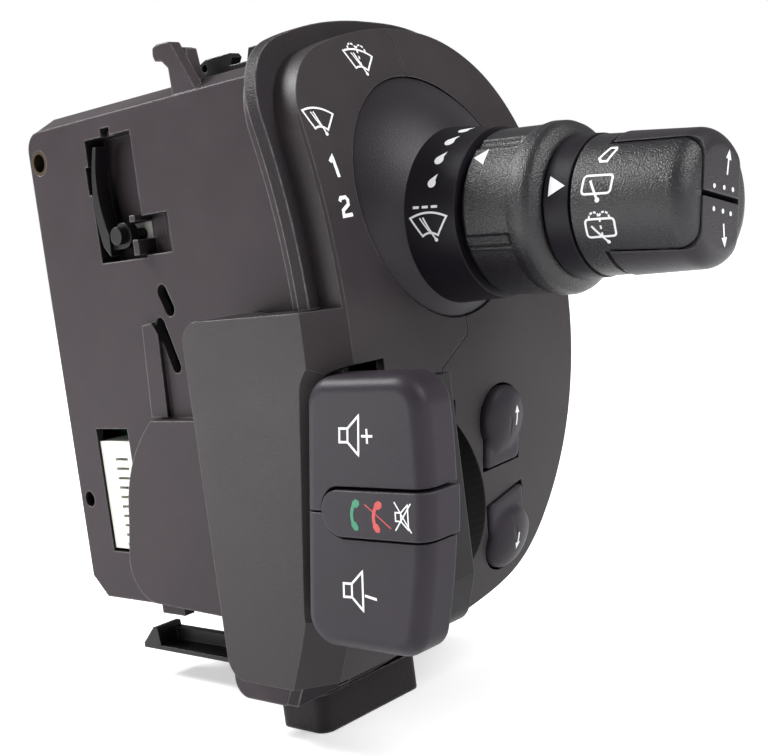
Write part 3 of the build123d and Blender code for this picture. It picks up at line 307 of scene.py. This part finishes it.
PAINTS = {
    "housing": moulded("housing_plastic", HOUSING, 0.50, grain=0.30, grain_size=0.50,
                       wear_and_edge_highlight=0.30, edge=0.6, specular=0.10, painted_hollow_shade=0.85),
    "plate": moulded("plate_plastic", CHARCOAL, 0.46, grain=0.30, grain_size=0.32,
                     wear_and_edge_highlight=0.16, specular=0.22),
    "frame": moulded("frame_plastic", FRAME_DARK, 0.48, grain=0.90, grain_size=0.45,
                     wear_and_edge_highlight=0.42, edge=0.6, specular=0.10),
    "grained": moulded("grained_plastic", GRAINED, 0.35, grain=0.85, grain_size=0.36,
                       wear_and_edge_highlight=0.08, specular=0.50),
    "dome": moulded("dome_plastic", DOME_DARK, 0.40, grain=0.30, wear_and_edge_highlight=0.04, specular=0.24),
    "sleeve": moulded("sleeve_plastic", SLEEVE_DARK, 0.44, grain=0.25, grain_size=0.26,
                      specular=0.16),
    "key": moulded("key_plastic", KEY_DARK, 0.42, grain=0.25, grain_size=0.26,
                   wear_and_edge_highlight=0.12, edge=0.5, specular=0.14),
    "tip": moulded("tip_plastic", DOME_DARK, 0.40, grain=0.50, grain_size=0.32,
                   wear_and_edge_highlight=0.12, edge=0.6, specular=0.26),
    "black": moulded("black_plastic", DEEP_BLACK, 0.40, grain=0.25, grain_size=0.30,
                     wear_and_edge_highlight=0.10, specular=0.22),
    "white": moulded("white_plastic", CONNECTOR_WHITE, 0.42, grain=0.15, grain_size=0.30,
                     patch=0.03, wear_and_edge_highlight=0.0),
    "chip": moulded("chip_resin", RESIN, 0.52, grain_size=0.20),
    "rubber": moulded("mat_rubber", MAT_GREY, 0.62, grain=0.25, grain_size=0.30),
    "wheel": moulded("wheel_plastic", WHEEL_BLACK, 0.60, grain=0.12, grain_size=0.30,
                     wear_and_edge_highlight=0.02, specular=0.04, ridges=wheel_ridges),
    "board": circuit("circuit_lacquer"),
    "steel": metal("zinc_steel", ZINC, 0.28),
    "brass": metal("dull_brass", DULL_BRASS, 0.45),
    "contact": metal("tinned_contact", TIN, 0.22),
    "ink_white": ink("white_ink", PRINT_WHITE),
    "ink_green": ink("green_ink", PRINT_GREEN),
    "ink_red": ink("red_ink", PRINT_RED),
}

NODE_PAINTS = {
    "housing": ("main_housing", "box_body", "back_cover"),
    "plate": ("front_shell", "rear_shell"),
    "frame": ("flange_frame", "under_block"),
    "grained": ("sensitivity_ring", "end_cap"),
    "dome": ("dome",),
    "sleeve": ("mark_sleeve", "marker_ring"),
    "key": ("volume_up_key", "volume_down_key", "call_key", "source_up_key", "source_down_key"),
    "tip": ("tip_up_key", "tip_down_key", "tip_disc"),
    "black": ("latch_lever", "latch_pin", "latch_tongue", "top_bracket", "board_socket",
              "wheel_bracket", "key_frame", "mechanism_frame", "detent_track", "lift_yoke",
              "pull_carrier"),
    "white": ("white_connector", "white_bar"),
    "chip": ("board_chips",),
    "rubber": ("source_mat", "key_mat"),
    "wheel": ("thumbwheel",),
    "board": ("circuit_board", "source_board", "key_board"),
    "steel": ("cover_screws", "wheel_axle", "detent_plunger", "stalk_core"),
    "brass": ("screw_bush",),
    "contact": ("connector_pins",),
}


def paint(obj, name):
    """Gives an object one material in all its slots."""
    obj.data.materials.clear()
    obj.data.materials.append(PAINTS[name])


for paint_name, names in NODE_PAINTS.items():
    for node_name in names:
        paint(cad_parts[node_name], paint_name)


def build_piece(name, verts, faces, outside, colour):
    """A mesh object with its faces turned outward, as outside(mesh) says, in one paint."""
    mesh = bpy.data.meshes.new(name)
    mesh.from_pydata([tuple(v) for v in verts], [], faces)
    mesh.update()
    if not outside(mesh):
        mesh.flip_normals()
    piece = bpy.data.objects.new(name, mesh)
    bpy.context.scene.collection.objects.link(piece)
    paint(piece, colour)
    return piece


def shade_smooth(piece, largest):
    """Shades a piece's small faces smooth, and its end faces flat; largest is in square mm."""
    for polygon in piece.data.polygons:
        polygon.use_smooth = polygon.area < largest * MM * MM


# Printed marks: thin solids laid on the surfaces that carry them


def split_line(points, closed=False):
    """A line's points with more between them, so that it can follow a curved surface."""
    ends = points[1:] + points[:1] if closed else points[1:]
    out = []
    for start, end in zip(points, ends):
        a, b = Vector(start), Vector(end)
        count = max(1, math.ceil((b - a).length / STROKE_STEP))
        out += [a.lerp(b, index / count) for index in range(count)]
    if not closed:
        out.append(Vector(points[-1]))
    return out


def stroke(points, width, closed=False):
    """A line of one width, as a strip of quads with mitred corners."""
    line = split_line(list(points), closed)
    count = len(line)
    verts = []
    for index, point in enumerate(line):
        before = line[index - 1] if index or closed else point
        after = line[(index + 1) % count] if index < count - 1 or closed else point
        one = (point - before).normalized()
        two = (after - point).normalized()
        middle = (one + two).normalized() if (one + two).length > 1e-6 else two
        side = Vector((-middle.y, middle.x))
        straight = two if two.length else one
        reach = width / 2 / max(MITRE_LEAST, abs(side.dot(Vector((-straight.y, straight.x)))))
        verts += [point + side * reach, point - side * reach]
    faces = []
    for index in range(count if closed else count - 1):
        a, b = 2 * index, 2 * ((index + 1) % count)
        faces.append((a, a + 1, b + 1, b))
    return verts, faces


def filled(points):
    """A filled convex outline, as a fan round its middle with one ring between."""
    line = split_line(list(points), True)
    middle = sum(line, Vector((0.0, 0.0))) / len(line)
    count = len(line)
    verts = [middle] + [middle.lerp(p, 0.5) for p in line] + line
    faces = []
    for index in range(count):
        after = (index + 1) % count
        faces.append((0, 1 + index, 1 + after))
        faces.append((1 + index, 1 + count + index, 1 + count + after, 1 + after))
    return verts, faces


def disc(x, y, radius, sides=14):
    turns = [2 * math.pi * index / sides for index in range(sides)]
    return filled([(x + radius * math.cos(t), y + radius * math.sin(t)) for t in turns])


def arc(x, y, radius_x, radius_y, start, end, steps=10):
    """Points along an elliptical arc, with its angles in degrees."""
    angles = [math.radians(start + (end - start) * index / steps) for index in range(steps + 1)]
    return [(x + radius_x * math.cos(a), y + radius_y * math.sin(a)) for a in angles]


def dashes(points, width, on=2, off=1):
    """A dashed stroke: on steps drawn, off steps left out."""
    parts = []
    index = 0
    while index + on < len(points):
        parts.append(stroke(points[index:index + on + 1], width))
        index += on + off
    return parts


def moved(shapes, x, y, turn=0.0, size=1.0, lean=0.0):
    """Shapes leant, turned and scaled about the origin, then moved."""
    c, s = math.cos(math.radians(turn)), math.sin(math.radians(turn))
    out = []
    for verts, faces in shapes:
        placed = []
        for v in verts:
            px, py = (v[0] + lean * v[1]) * size, v[1] * size
            placed.append(Vector((x + c * px - s * py, y + s * px + c * py)))
        out.append((placed, faces))
    return out


LINE = 0.42


def screen(width=8.6, height=4.6):
    """A windscreen seen from the front: wide at the top, narrow at the foot."""
    steps = [index / 5 - 1 for index in range(11)]
    top = [(width / 2 * t, height * (0.5 - 0.2 * t * t)) for t in steps]
    foot = [(-width * 0.21 * t, -height * (0.36 + 0.12 * t * t)) for t in steps]
    return [stroke(top + foot, LINE, closed=True)]


def arm(x0, y0, x1, y1):
    """A wiper arm: a line with a round end, and the blade's second line."""
    end = (x0 + (x1 - x0) * 0.62 - 0.35, y0 + (y1 - y0) * 0.62)
    blade = stroke([(x0 - 0.75, y0 - 0.1), end], LINE * 0.7)
    return [stroke([(x0, y0), (x1, y1)], LINE * 0.9), disc(x1, y1, 0.42), blade]


def spray(width, height):
    """Two dashed jets and a dashed line of drops."""
    left = dashes(arc(-width / 4, 0, width / 4, height, 180, 20, 11), LINE * 0.9, 2, 1)
    right = dashes(arc(width / 4, 0, width / 4, height, 160, 0, 11), LINE * 0.9, 2, 1)
    line = dashes([(0.1, -0.7 * k) for k in range(6)], LINE * 0.9, 1, 1)
    return left + right + line


WIPER_ARM = (-1.3, 1.4, 1.2, -3.1)


def front_wiper():
    return screen() + arm(*WIPER_ARM)


def front_washer():
    return front_wiper() + moved(spray(5.2, 1.3), 0, 2.2)


def rain_wiper():
    return front_wiper() + dashes([(-3.6 + 0.72 * k, 3.4) for k in range(11)], LINE * 1.2, 2, 1)


def rear_glass(width=6.2, height=3.6, corner=0.7):
    x, y = width / 2 - corner, height / 2 - corner
    points = (arc(x, y, corner, corner, 0, 90, 3) + arc(-x, y, corner, corner, 90, 180, 3)
              + arc(-x, -y, corner, corner, 180, 270, 3) + arc(x, -y, corner, corner, 270, 360, 3))
    return [stroke(points, LINE * 1.05, closed=True)]


def rear_wiper():
    return rear_glass() + [stroke([(-1.6, 0.8), (0.5, -3.0)], LINE * 1.1), disc(0.5, -3.0, 0.5)]


def rear_washer():
    wiper = [stroke([(-1.9, 0.5), (1.0, -3.0)], LINE), disc(1.0, -3.0, 0.42)]
    return rear_glass() + wiper + moved(spray(4.4, 1.2), 0, 1.9)


def hollow_ring():
    """The mark for no rear wiping: a small slanted six-cornered outline."""
    corners = [(-0.9, -1.7), (0.5, -1.7), (1.5, 1.2), (1.3, 1.8), (0.1, 1.8), (-1.4, -0.9)]
    return [stroke(corners, LINE * 1.2, closed=True)]


def drop(size):
    """A drop with its point up and to the right."""
    round_part = arc(0, 0, 1.0, 1.0, 130, 400, 14)
    tip = (1.05, 2.05)
    return moved([filled(round_part + [tip])], 0, 0, 0, size)


def arrow(length, head=1.7, width=0.5):
    """An arrow that points up."""
    point = (0, length / 2)
    left, right = (-head * 0.55, length / 2 - head), (head * 0.55, length / 2 - head)
    return [stroke([(0, -length / 2), (0, length / 2 - head * 0.6)], width), filled([left, right, point])]


SPEAKER_LINE = 0.48


def speaker(scale=1.0):
    """A loudspeaker: its box and its cone, which opens to the right."""
    box = [(-2.9, -1.35), (-2.9, 1.35), (-0.7, 1.35), (-0.7, -1.35)]
    cone = [(-0.7, -1.35), (-0.7, 1.35), (2.2, 3.9), (2.2, -3.9)]
    shapes = [stroke(points, SPEAKER_LINE, closed=True) for points in (box, cone)]
    return moved(shapes, 0, 0, 0, scale)


PLUS_HALF = 1.45
PLUS_LINE = 0.5


def plus():
    bars = ([(-PLUS_HALF, 0), (PLUS_HALF, 0)], [(0, -PLUS_HALF), (0, PLUS_HALF)])
    return [stroke(bar, PLUS_LINE) for bar in bars]


def handset():
    """A telephone handset standing upright: two ends that turn the same way, and a bowed grip."""
    grip = stroke(arc(2.5, 0, 3.0, 3.6, 140, 220, 8), 0.8)
    ear = filled([(-0.5, 1.4), (0.75, 1.5), (1.45, 2.3), (1.35, 3.1), (0.4, 3.3), (-0.45, 2.5)])
    mouth = filled([(-0.5, -1.4), (-0.45, -2.5), (0.4, -3.3), (1.35, -3.1), (1.45, -2.3), (0.75, -1.5)])
    return [grip, ear, mouth]


def one():
    return [stroke([(-0.95, 1.15), (0.15, 2.1), (0.15, -2.2)], 0.85)]


def two():
    return [stroke([(-1.25, 1.15), (-0.75, 1.8), (0.7, 1.8), (1.15, 1.2), (0.95, 0.25), (-1.0, -0.75),
                    (-1.25, -1.9), (1.45, -1.9)], 0.78)]


def surface_of(carriers):
    """One search tree over the meshes of some CAD nodes, given by name, or pieces."""
    verts, faces = [], []
    for carrier in carriers:
        mesh = (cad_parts[carrier] if isinstance(carrier, str) else carrier).data
        offset = len(verts)
        verts += [v.co.copy() for v in mesh.vertices]
        faces += [[offset + v for v in p.vertices] for p in mesh.polygons]
    return BVHTree.FromPolygons(verts, faces)


# Where the rays that find a surface start, outside the part, in the drawing

RAY_X = 30.0
RAY_Y = -70.0
RAY_RADIUS = 40.0
RAY_STATION = 110.0


def on_plate(u, v):
    """The lever side's front: u is Y and v is Z of the drawing."""
    return drawn(RAY_X, u, v), Vector((-1, 0, 0))


def on_keys(u, v):
    """The audio keys' front: u is X and v is Z of the drawing."""
    return drawn(u, RAY_Y, v), Vector((0, 1, 0))


def stalk_place(radius):
    """Round the stalk: u is the station from the pivot, and v the way round at that radius.

    v starts at the driver's side and goes up.
    """

    def place(u, v):
        turn = v / radius
        out = STALK_UP * math.sin(turn) - STALK_ACROSS * math.cos(turn)
        point = STALK_PIVOT + STALK_ALONG * u + out * RAY_RADIUS
        return drawn(*point), -out

    return place


def on_tip(u, v):
    """The stalk's end: u across and v up, seen along the stalk."""
    point = STALK_PIVOT + STALK_ALONG * RAY_STATION + STALK_ACROSS * u + STALK_UP * v
    return drawn(*point), -STALK_ALONG


def lay(name, shapes, body, carriers, place, colour="ink_white"):
    """Lays flat shapes on the surface of what carries them as one thin printed piece."""
    tree = surface_of(carriers)
    verts, faces = [], []
    for layer, (points, cells) in enumerate(shapes):
        offset = len(verts)
        height = (PRINT_TOP + PRINT_STEP * layer) * MM
        for u, v in points:
            start, way = place(u, v)
            hit, normal, _, _ = tree.ray_cast(start, way)
            if hit is None:
                raise RuntimeError(f"{name}: nothing under ({u:.1f}, {v:.1f})")
            if normal.dot(way) > 0:
                normal = -normal
            verts.append(hit + normal * height)
        faces += [[offset + c for c in cell] for cell in cells]
    outward = -place(*shapes[0][0][0])[1]

    def faces_out(mesh):
        return sum(p.normal.dot(outward) * p.area for p in mesh.polygons) >= 0

    piece = build_piece(name, verts, faces, faces_out, colour)
    solid = piece.modifiers.new("thickness", "SOLIDIFY")
    solid.thickness = PRINT_THICK * MM
    solid.offset = -1.0
    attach(piece, body)
    return piece


# The source keys: keyhole caps with one soft dome that flows into the stem

PLATE_X = -173.9
PLATE_R = 176.0
PLATE_APEX = -27.0
KEY_R = 7.4
KEY_STEM = 6.4
KEY_PROUD = 0.8
KEY_DOME = 2.4
KEY_DOME_R = 7.9
KEY_DEPTH = 4.6
KEY_CORNER = 1.6
KEY_RIM = 0.5
KEY_RIM_SHARE = 0.12
KEY_FLAT_FROM = 4.0
KEY_RINGS = (0.0, 0.03, 0.08, 0.15, 0.25, 0.36, 0.48, 0.60, 0.72, 0.84, 0.93)


def plate_x(z, proud=0.0):
    """X of the lever side's curved front at a height, in the drawing."""
    return PLATE_X + math.sqrt((PLATE_R + proud) ** 2 - (z - PLATE_APEX) ** 2)


def keyhole_outline(length):
    """A round head at the origin with a stem along +X, and each point's foot on its middle line."""
    start = math.degrees(math.asin(KEY_STEM / KEY_R))
    inset = length - KEY_CORNER
    side = KEY_STEM - KEY_CORNER
    first = KEY_R * math.cos(math.radians(start))
    points = arc(0, 0, KEY_R, KEY_R, start, 360 - start, 60)
    points += [(first + (inset - first) * step / 6, -KEY_STEM) for step in range(1, 6)]
    points += arc(inset, -side, KEY_CORNER, KEY_CORNER, -90, 0, 6)
    points += [(length, -side + 2 * side * step / 8) for step in range(1, 8)]
    points += arc(inset, side, KEY_CORNER, KEY_CORNER, 0, 90, 6)
    points += [(inset - (inset - first) * step / 6, KEY_STEM) for step in range(1, 6)]
    reach = length - KEY_STEM
    return points, [(min(max(x, 0.0), reach), 0.0) for x, _ in points]


def key_height(x, y, edge):
    """Height of a source key above its base: a dome round the head and a rounded rim."""
    away = math.hypot(x, y) / KEY_DOME_R
    dome = KEY_DOME * math.sqrt(max(0.0, 1 - away * away)) ** 1.5 if away < 1 else 0.0
    rim = KEY_RIM * (1 - min(1.0, edge / KEY_RIM_SHARE)) ** 2
    return dome - rim


def source_cap(name, body, node, head, tail):
    """One source key as a smooth closed mesh in the place of its node."""
    run = Vector((tail[0] - head[0], tail[1] - head[1]))
    outline, spine = keyhole_outline(run.length)
    run.normalize()
    verts, faces = [], []

    def put(x, y, height):
        u, v = head[0] + run.x * x - run.y * y, head[1] + run.y * x + run.x * y
        verts.append(drawn(plate_x(v, KEY_PROUD) + height, u, v))

    for (x, y) in outline:
        put(x, y, -KEY_DEPTH)
    for ring in KEY_RINGS:
        for (x, y), (sx, sy) in zip(outline, spine):
            px, py = x + (sx - x) * ring, y + (sy - y) * ring
            put(px, py, key_height(px, py, ring))
    count = len(outline)
    layers = len(KEY_RINGS) + 1
    for layer in range(layers - 1):
        for index in range(count):
            a, b = layer * count + index, layer * count + (index + 1) % count
            faces.append((a, b, b + count, a + count))
    faces.append(tuple(range(count))[::-1])
    faces.append(tuple(range((layers - 1) * count, layers * count)))
    piece = build_piece(name, verts, faces, lambda mesh: mesh.polygons[-1].normal.x >= 0, "key")
    shade_smooth(piece, KEY_FLAT_FROM)
    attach(piece, body)
    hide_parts(node)
    return piece


SOURCE_UP = ((11.6, -52.0), (12.2, -63.0))
SOURCE_DOWN = ((17.6, -82.6), (14.4, -71.2))
SOURCE_UP_CAP = source_cap("source_up_cap", "source_up", "source_up_key", *SOURCE_UP)
SOURCE_DOWN_CAP = source_cap("source_down_cap", "source_down", "source_down_key", *SOURCE_DOWN)


# The turning ring: five grips with narrow grooves between them, and a rounded collar

RING_BORE = 6.6
RING_PROFILE = ((42.3, 16.3), (42.6, 16.6), (43.4, 16.6), (50.0, 16.5), (53.0, 16.5), (53.6, 16.8),
                (54.2, 17.4), (55.0, 17.6), (56.0, 17.8), (58.0, 17.7), (59.2, 17.2), (59.9, 16.3),
                (60.4, 15.4), (60.6, 14.9))
RING_BACK = RING_PROFILE[0][0]
RING_FRONT = RING_PROFILE[-1][0]
RING_STEP = 0.5
RING_FLAT_FROM = 2.0
GRIP_COUNT = 5
GRIP_FIRST = 55.0
GRIP_R = 17.3
GRIP_BACK = 43.1
GRIP_FRONT = 54.6
BACK_EASE = 0.3
FRONT_EASE = 1.0
# Half width and edge of a groove, and the small ridge beside it, in degrees round the ring
GROOVE_HALF = 4.6
GROOVE_EDGE = 1.6
RIDGE_START = 0.6
RIDGE_TOP = 1.2
RIDGE_END = 2.6
RIDGE_RISE = 0.12  # mm
RING_SIDES = 360


def smooth(value, low, high):
    """0 below low, 1 above high and a soft step between."""
    t = min(1.0, max(0.0, (value - low) / (high - low)))
    return t * t * (3 - 2 * t)


def ring_radius(station, base, angle):
    """The ring's radius at a station and an angle in degrees."""
    pitch = 360.0 / GRIP_COUNT
    away = abs((angle - GRIP_FIRST + pitch / 2) % pitch - pitch / 2)
    inside = smooth(station, GRIP_BACK - BACK_EASE, GRIP_BACK + BACK_EASE)
    inside *= 1 - smooth(station, GRIP_FRONT - FRONT_EASE, GRIP_FRONT)
    grip = smooth(away, GROOVE_HALF - GROOVE_EDGE, GROOVE_HALF) * inside
    up = smooth(away, GROOVE_HALF - RIDGE_START, GROOVE_HALF)
    down = 1 - smooth(away, GROOVE_HALF + RIDGE_TOP, GROOVE_HALF + RIDGE_END)
    ridge = RIDGE_RISE * up * down * inside
    return base + (max(GRIP_R, base) - base) * grip + ridge


def ring_skin(name):
    """The turning ring as one closed mesh in the place of its node."""
    stations = [RING_PROFILE[0]]
    for (s0, r0), (s1, r1) in zip(RING_PROFILE, RING_PROFILE[1:]):
        count = max(1, math.ceil((s1 - s0) / RING_STEP))
        shares = [k / count for k in range(1, count + 1)]
        stations += [(s0 + (s1 - s0) * share, r0 + (r1 - r0) * share) for share in shares]
    rows = [(RING_BACK, None)] + stations + [(RING_FRONT, None)]
    verts, faces = [], []
    for station, base in rows:
        for index in range(RING_SIDES):
            angle = 360.0 * index / RING_SIDES
            radius = RING_BORE if base is None else ring_radius(station, base, angle)
            turn = math.radians(angle)
            out = STALK_UP * math.sin(turn) - STALK_ACROSS * math.cos(turn)
            verts.append(drawn(*(STALK_PIVOT + STALK_ALONG * station + out * radius)))
    for row in range(len(rows)):
        after = (row + 1) % len(rows)
        for index in range(RING_SIDES):
            b = (index + 1) % RING_SIDES
            faces.append((row * RING_SIDES + index, row * RING_SIDES + b, after * RING_SIDES + b,
                          after * RING_SIDES + index))
    middle = RING_SIDES * (len(rows) // 2)

    def faces_out(mesh):
        return mesh.polygons[middle].normal.dot(-STALK_ACROSS) >= 0

    piece = build_piece(name, verts, faces, faces_out, "grained")
    shade_smooth(piece, RING_FLAT_FROM)
    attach(piece, "ring")
    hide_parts("sensitivity_ring")
    return piece


RING_SKIN = ring_skin("ring_grips")

# The marks: moved() sets each at the two numbers that its placing function reads, then turns it

PLATE_NODES = ("front_shell", "rear_shell")
UP_KEY = ("volume_up_key",)
DOWN_KEY = ("volume_down_key",)
CALL_KEY = ("call_key",)
SLEEVE_NODES = ("mark_sleeve",)
CAP_NODES = ("end_cap",)
ON_SLEEVE = stalk_place(18.5)
ON_RING = stalk_place(16.2)
ON_MARKER = stalk_place(14.6)
ON_CAP = stalk_place(13.9)
KEY_LEAN = 0.17
DOT_R = 0.46

lay("print_washer", moved(front_washer(), -12.4, 30.9, -8), "chassis", PLATE_NODES, on_plate)
lay("print_wiper", moved(front_wiper(), -31.3, 17.9, -6), "chassis", PLATE_NODES, on_plate)
lay("print_one", moved(one(), -30.9, 7.8, 6), "chassis", PLATE_NODES, on_plate)
lay("print_two", moved(two(), -30.9, -0.4, 4), "chassis", PLATE_NODES, on_plate)

LOUDER = moved(speaker(), 8.6, -44.75, 0, 1.0, KEY_LEAN) + moved(plus(), 13.0, -44.9, 0, 1.0, 0.1)
SOFTER = moved(speaker(1.03), 4.2, -76.2, 2, 1.0, KEY_LEAN) + [stroke([(6.9, -77.0), (10.0, -77.5)], 0.55)]
HANG_UP = moved(handset(), 13.2, -60.4, -14, 0.98) + [stroke([(10.7, -58.2), (16.9, -62.7)], 0.24)]
MUTE_CROSS = [stroke([(18.5, -57.4), (22.0, -63.3)], 0.28), stroke([(22.6, -57.6), (18.0, -63.0)], 0.28)]
MUTE = moved(speaker(0.62), 20.2, -60.3, 0, 1.0, 0.1) + MUTE_CROSS
lay("print_louder", LOUDER, "volume_up", UP_KEY, on_keys)
lay("print_softer", SOFTER, "volume_down", DOWN_KEY, on_keys)
lay("print_answer", moved(handset(), 7.4, -60.3, -12, 0.98), "call", CALL_KEY, on_keys, "ink_green")
lay("print_hang_up", HANG_UP, "call", CALL_KEY, on_keys, "ink_red")
lay("print_mute", MUTE, "call", CALL_KEY, on_keys)

ARROW_UP = moved(arrow(4.6), 14.0, -52.0, -4)
ARROW_DOWN = moved(arrow(4.2), 18.2, -83.4, 180)
lay("print_source_up", ARROW_UP, "source_up", (SOURCE_UP_CAP,), on_plate)
lay("print_source_down", ARROW_DOWN, "source_down", (SOURCE_DOWN_CAP,), on_plate)

# Station, way round and size of each rain drop
DROPS = ((35.6, 7.6, 0.98), (35.7, 13.0, 1.08), (35.6, 18.4, 1.14), (35.8, 23.6, 1.18))
for index, (station, way_round, size) in enumerate(DROPS):
    shapes = moved(drop(size), station, way_round)
    lay(f"print_drop_{index + 1}", shapes, "lever", SLEEVE_NODES, ON_SLEEVE)
lay("print_rain", moved(rain_wiper(), 35.2, -0.9, 0, 1.05), "lever", SLEEVE_NODES, ON_SLEEVE)

RING_POINTER = [filled([(43.7, 12.0), (46.6, 13.9), (46.8, 10.2)])]
CAP_POINTER = [filled([(62.2, 6.9), (65.7, 4.8), (62.2, 2.8)])]
lay("print_ring_pointer", RING_POINTER, "ring", (RING_SKIN,), ON_RING)
lay("print_cap_pointer", CAP_POINTER, "lever", ("marker_ring",), ON_MARKER)
lay("print_rear_off", moved(hollow_ring(), 73.2, 11.0), "cap", CAP_NODES, ON_CAP)
lay("print_rear_wiper", moved(rear_wiper(), 72.6, 4.5, 0, 1.0, 0.1), "cap", CAP_NODES, ON_CAP)
lay("print_rear_washer", moved(rear_washer(), 72.9, -3.9, 0, 1.0, 0.03), "cap", CAP_NODES, ON_CAP)

UP_DOTS = [disc(x, y, DOT_R) for x, y in ((-2.6, 2.3), (1.2, 1.75), (4.6, 1.15))]
DOWN_DOTS = [disc(x, y, DOT_R) for x, y in ((-3.3, -1.9), (0.2, -2.6), (3.2, -3.3))]
TIP_UP_MARKS = moved(arrow(4.9, 1.9), 3.4, 6.4, -18) + UP_DOTS
TIP_DOWN_MARKS = moved(arrow(4.5, 1.9), 0.2, -7.2, 180) + DOWN_DOTS
lay("print_tip_up", TIP_UP_MARKS, "tip_up", ("tip_up_key",), on_tip)
lay("print_tip_down", TIP_DOWN_MARKS, "tip_down", ("tip_down_key",), on_tip)


# Floor, light and background

FLOOR_GAP = 0.0001
FLOOR_Z = CAD_LOW.z - FLOOR_GAP
FLOOR_HALF = 4.0
FLOOR_PALE = (0.80, 0.80, 0.81)
GLOW_NEAR = 0.12
GLOW_FAR = 0.60
GLOW_LOW = 0.46
SKY_LEVEL = 0.30
WHITE = (1.0, 1.0, 1.0)
MIDDLE = (CAD_LOW + CAD_HIGH) / 2


def make_floor():
    """A plain pale floor that looks white and keeps the object's shadow."""
    mesh = bpy.data.meshes.new("floor")
    half = FLOOR_HALF
    corners = [(x, y, FLOOR_Z) for x, y in ((-half, -half), (half, -half), (half, half), (-half, half))]
    mesh.from_pydata(corners, [], [(0, 1, 2, 3)])
    floor = bpy.data.objects.new("floor", mesh)
    bpy.context.scene.collection.objects.link(floor)
    tree = Tree("floor_pale")
    tree.shader.inputs["Base Color"].default_value = rgba(FLOOR_PALE)
    tree.shader.inputs["Roughness"].default_value = 0.55
    path = tree.add("ShaderNodeLightPath").outputs
    seen = tree.maths("ADD", path["Is Camera Ray"], path["Is Glossy Ray"])
    seen = tree.maths("ADD", seen, path["Is Transmission Ray"], clamp=True)
    place = tree.add("ShaderNodeTexCoord").outputs["Object"]
    under = (MIDDLE.x, MIDDLE.y, FLOOR_Z)
    away = tree.add("ShaderNodeVectorMath", {0: place, 1: under}, operation="DISTANCE")
    fade = tree.span(away.outputs["Value"], GLOW_NEAR, GLOW_FAR, GLOW_LOW, 1.0)
    strength = tree.maths("MULTIPLY", seen, fade)
    glow = tree.add("ShaderNodeEmission", {"Color": rgba(WHITE), "Strength": strength})
    both = tree.add("ShaderNodeAddShader", {0: tree.shader.outputs[0], 1: glow.outputs[0]})
    tree.links.new(both.outputs[0], tree.nodes["Material Output"].inputs["Surface"])
    mesh.materials.append(tree.material)


def make_world():
    """A soft pale sky that shows white behind the object."""
    world = bpy.data.worlds.new("studio")
    bpy.context.scene.world = world
    world.use_nodes = True
    nodes, links = world.node_tree.nodes, world.node_tree.links
    back = nodes["Background"]
    back.inputs["Color"].default_value = rgba(WHITE)
    path = nodes.new("ShaderNodeLightPath")
    total = nodes.new("ShaderNodeMath")
    total.operation = "MAXIMUM"
    links.new(path.outputs["Is Camera Ray"], total.inputs[0])
    links.new(path.outputs["Is Transmission Ray"], total.inputs[1])
    level = nodes.new("ShaderNodeMapRange")
    level.inputs["To Min"].default_value = SKY_LEVEL
    level.inputs["To Max"].default_value = 1.0
    links.new(total.outputs[0], level.inputs["Value"])
    links.new(level.outputs["Result"], back.inputs["Strength"])


def make_lamp(name, at, target, width, height, watts):
    """A soft rectangular lamp that faces a target point."""
    data = bpy.data.lights.new(name, "AREA")
    data.shape = "RECTANGLE"
    data.size, data.size_y = width, height
    data.energy = watts
    lamp = bpy.data.objects.new(name, data)
    lamp.location = at
    lamp.rotation_mode = "QUATERNION"
    lamp.rotation_quaternion = (Vector(target) - Vector(at)).to_track_quat("-Z", "Y")
    bpy.context.scene.collection.objects.link(lamp)


# Name, place, target, width and height of each lamp in metres, and its watts
LAMPS = (
    ("key_lamp", (-0.95, -0.36, 1.02), MIDDLE, 0.45, 0.45, 30.0),
    ("side_lamp", (1.15, 0.20, 0.85), MIDDLE, 0.7, 0.8, 19.0),
    ("front_lamp", (0.1, -1.10, 0.1), MIDDLE, 1.0, 0.22, 1.5),
    ("low_lamp", (-0.20, -0.34, -0.08), (-0.01, 0.02, -0.12), 0.24, 0.10, 0.62),
)

make_floor()
make_world()
for lamp_values in LAMPS:
    make_lamp(*lamp_values)

view = bpy.context.scene.view_settings
view.view_transform = "Standard"
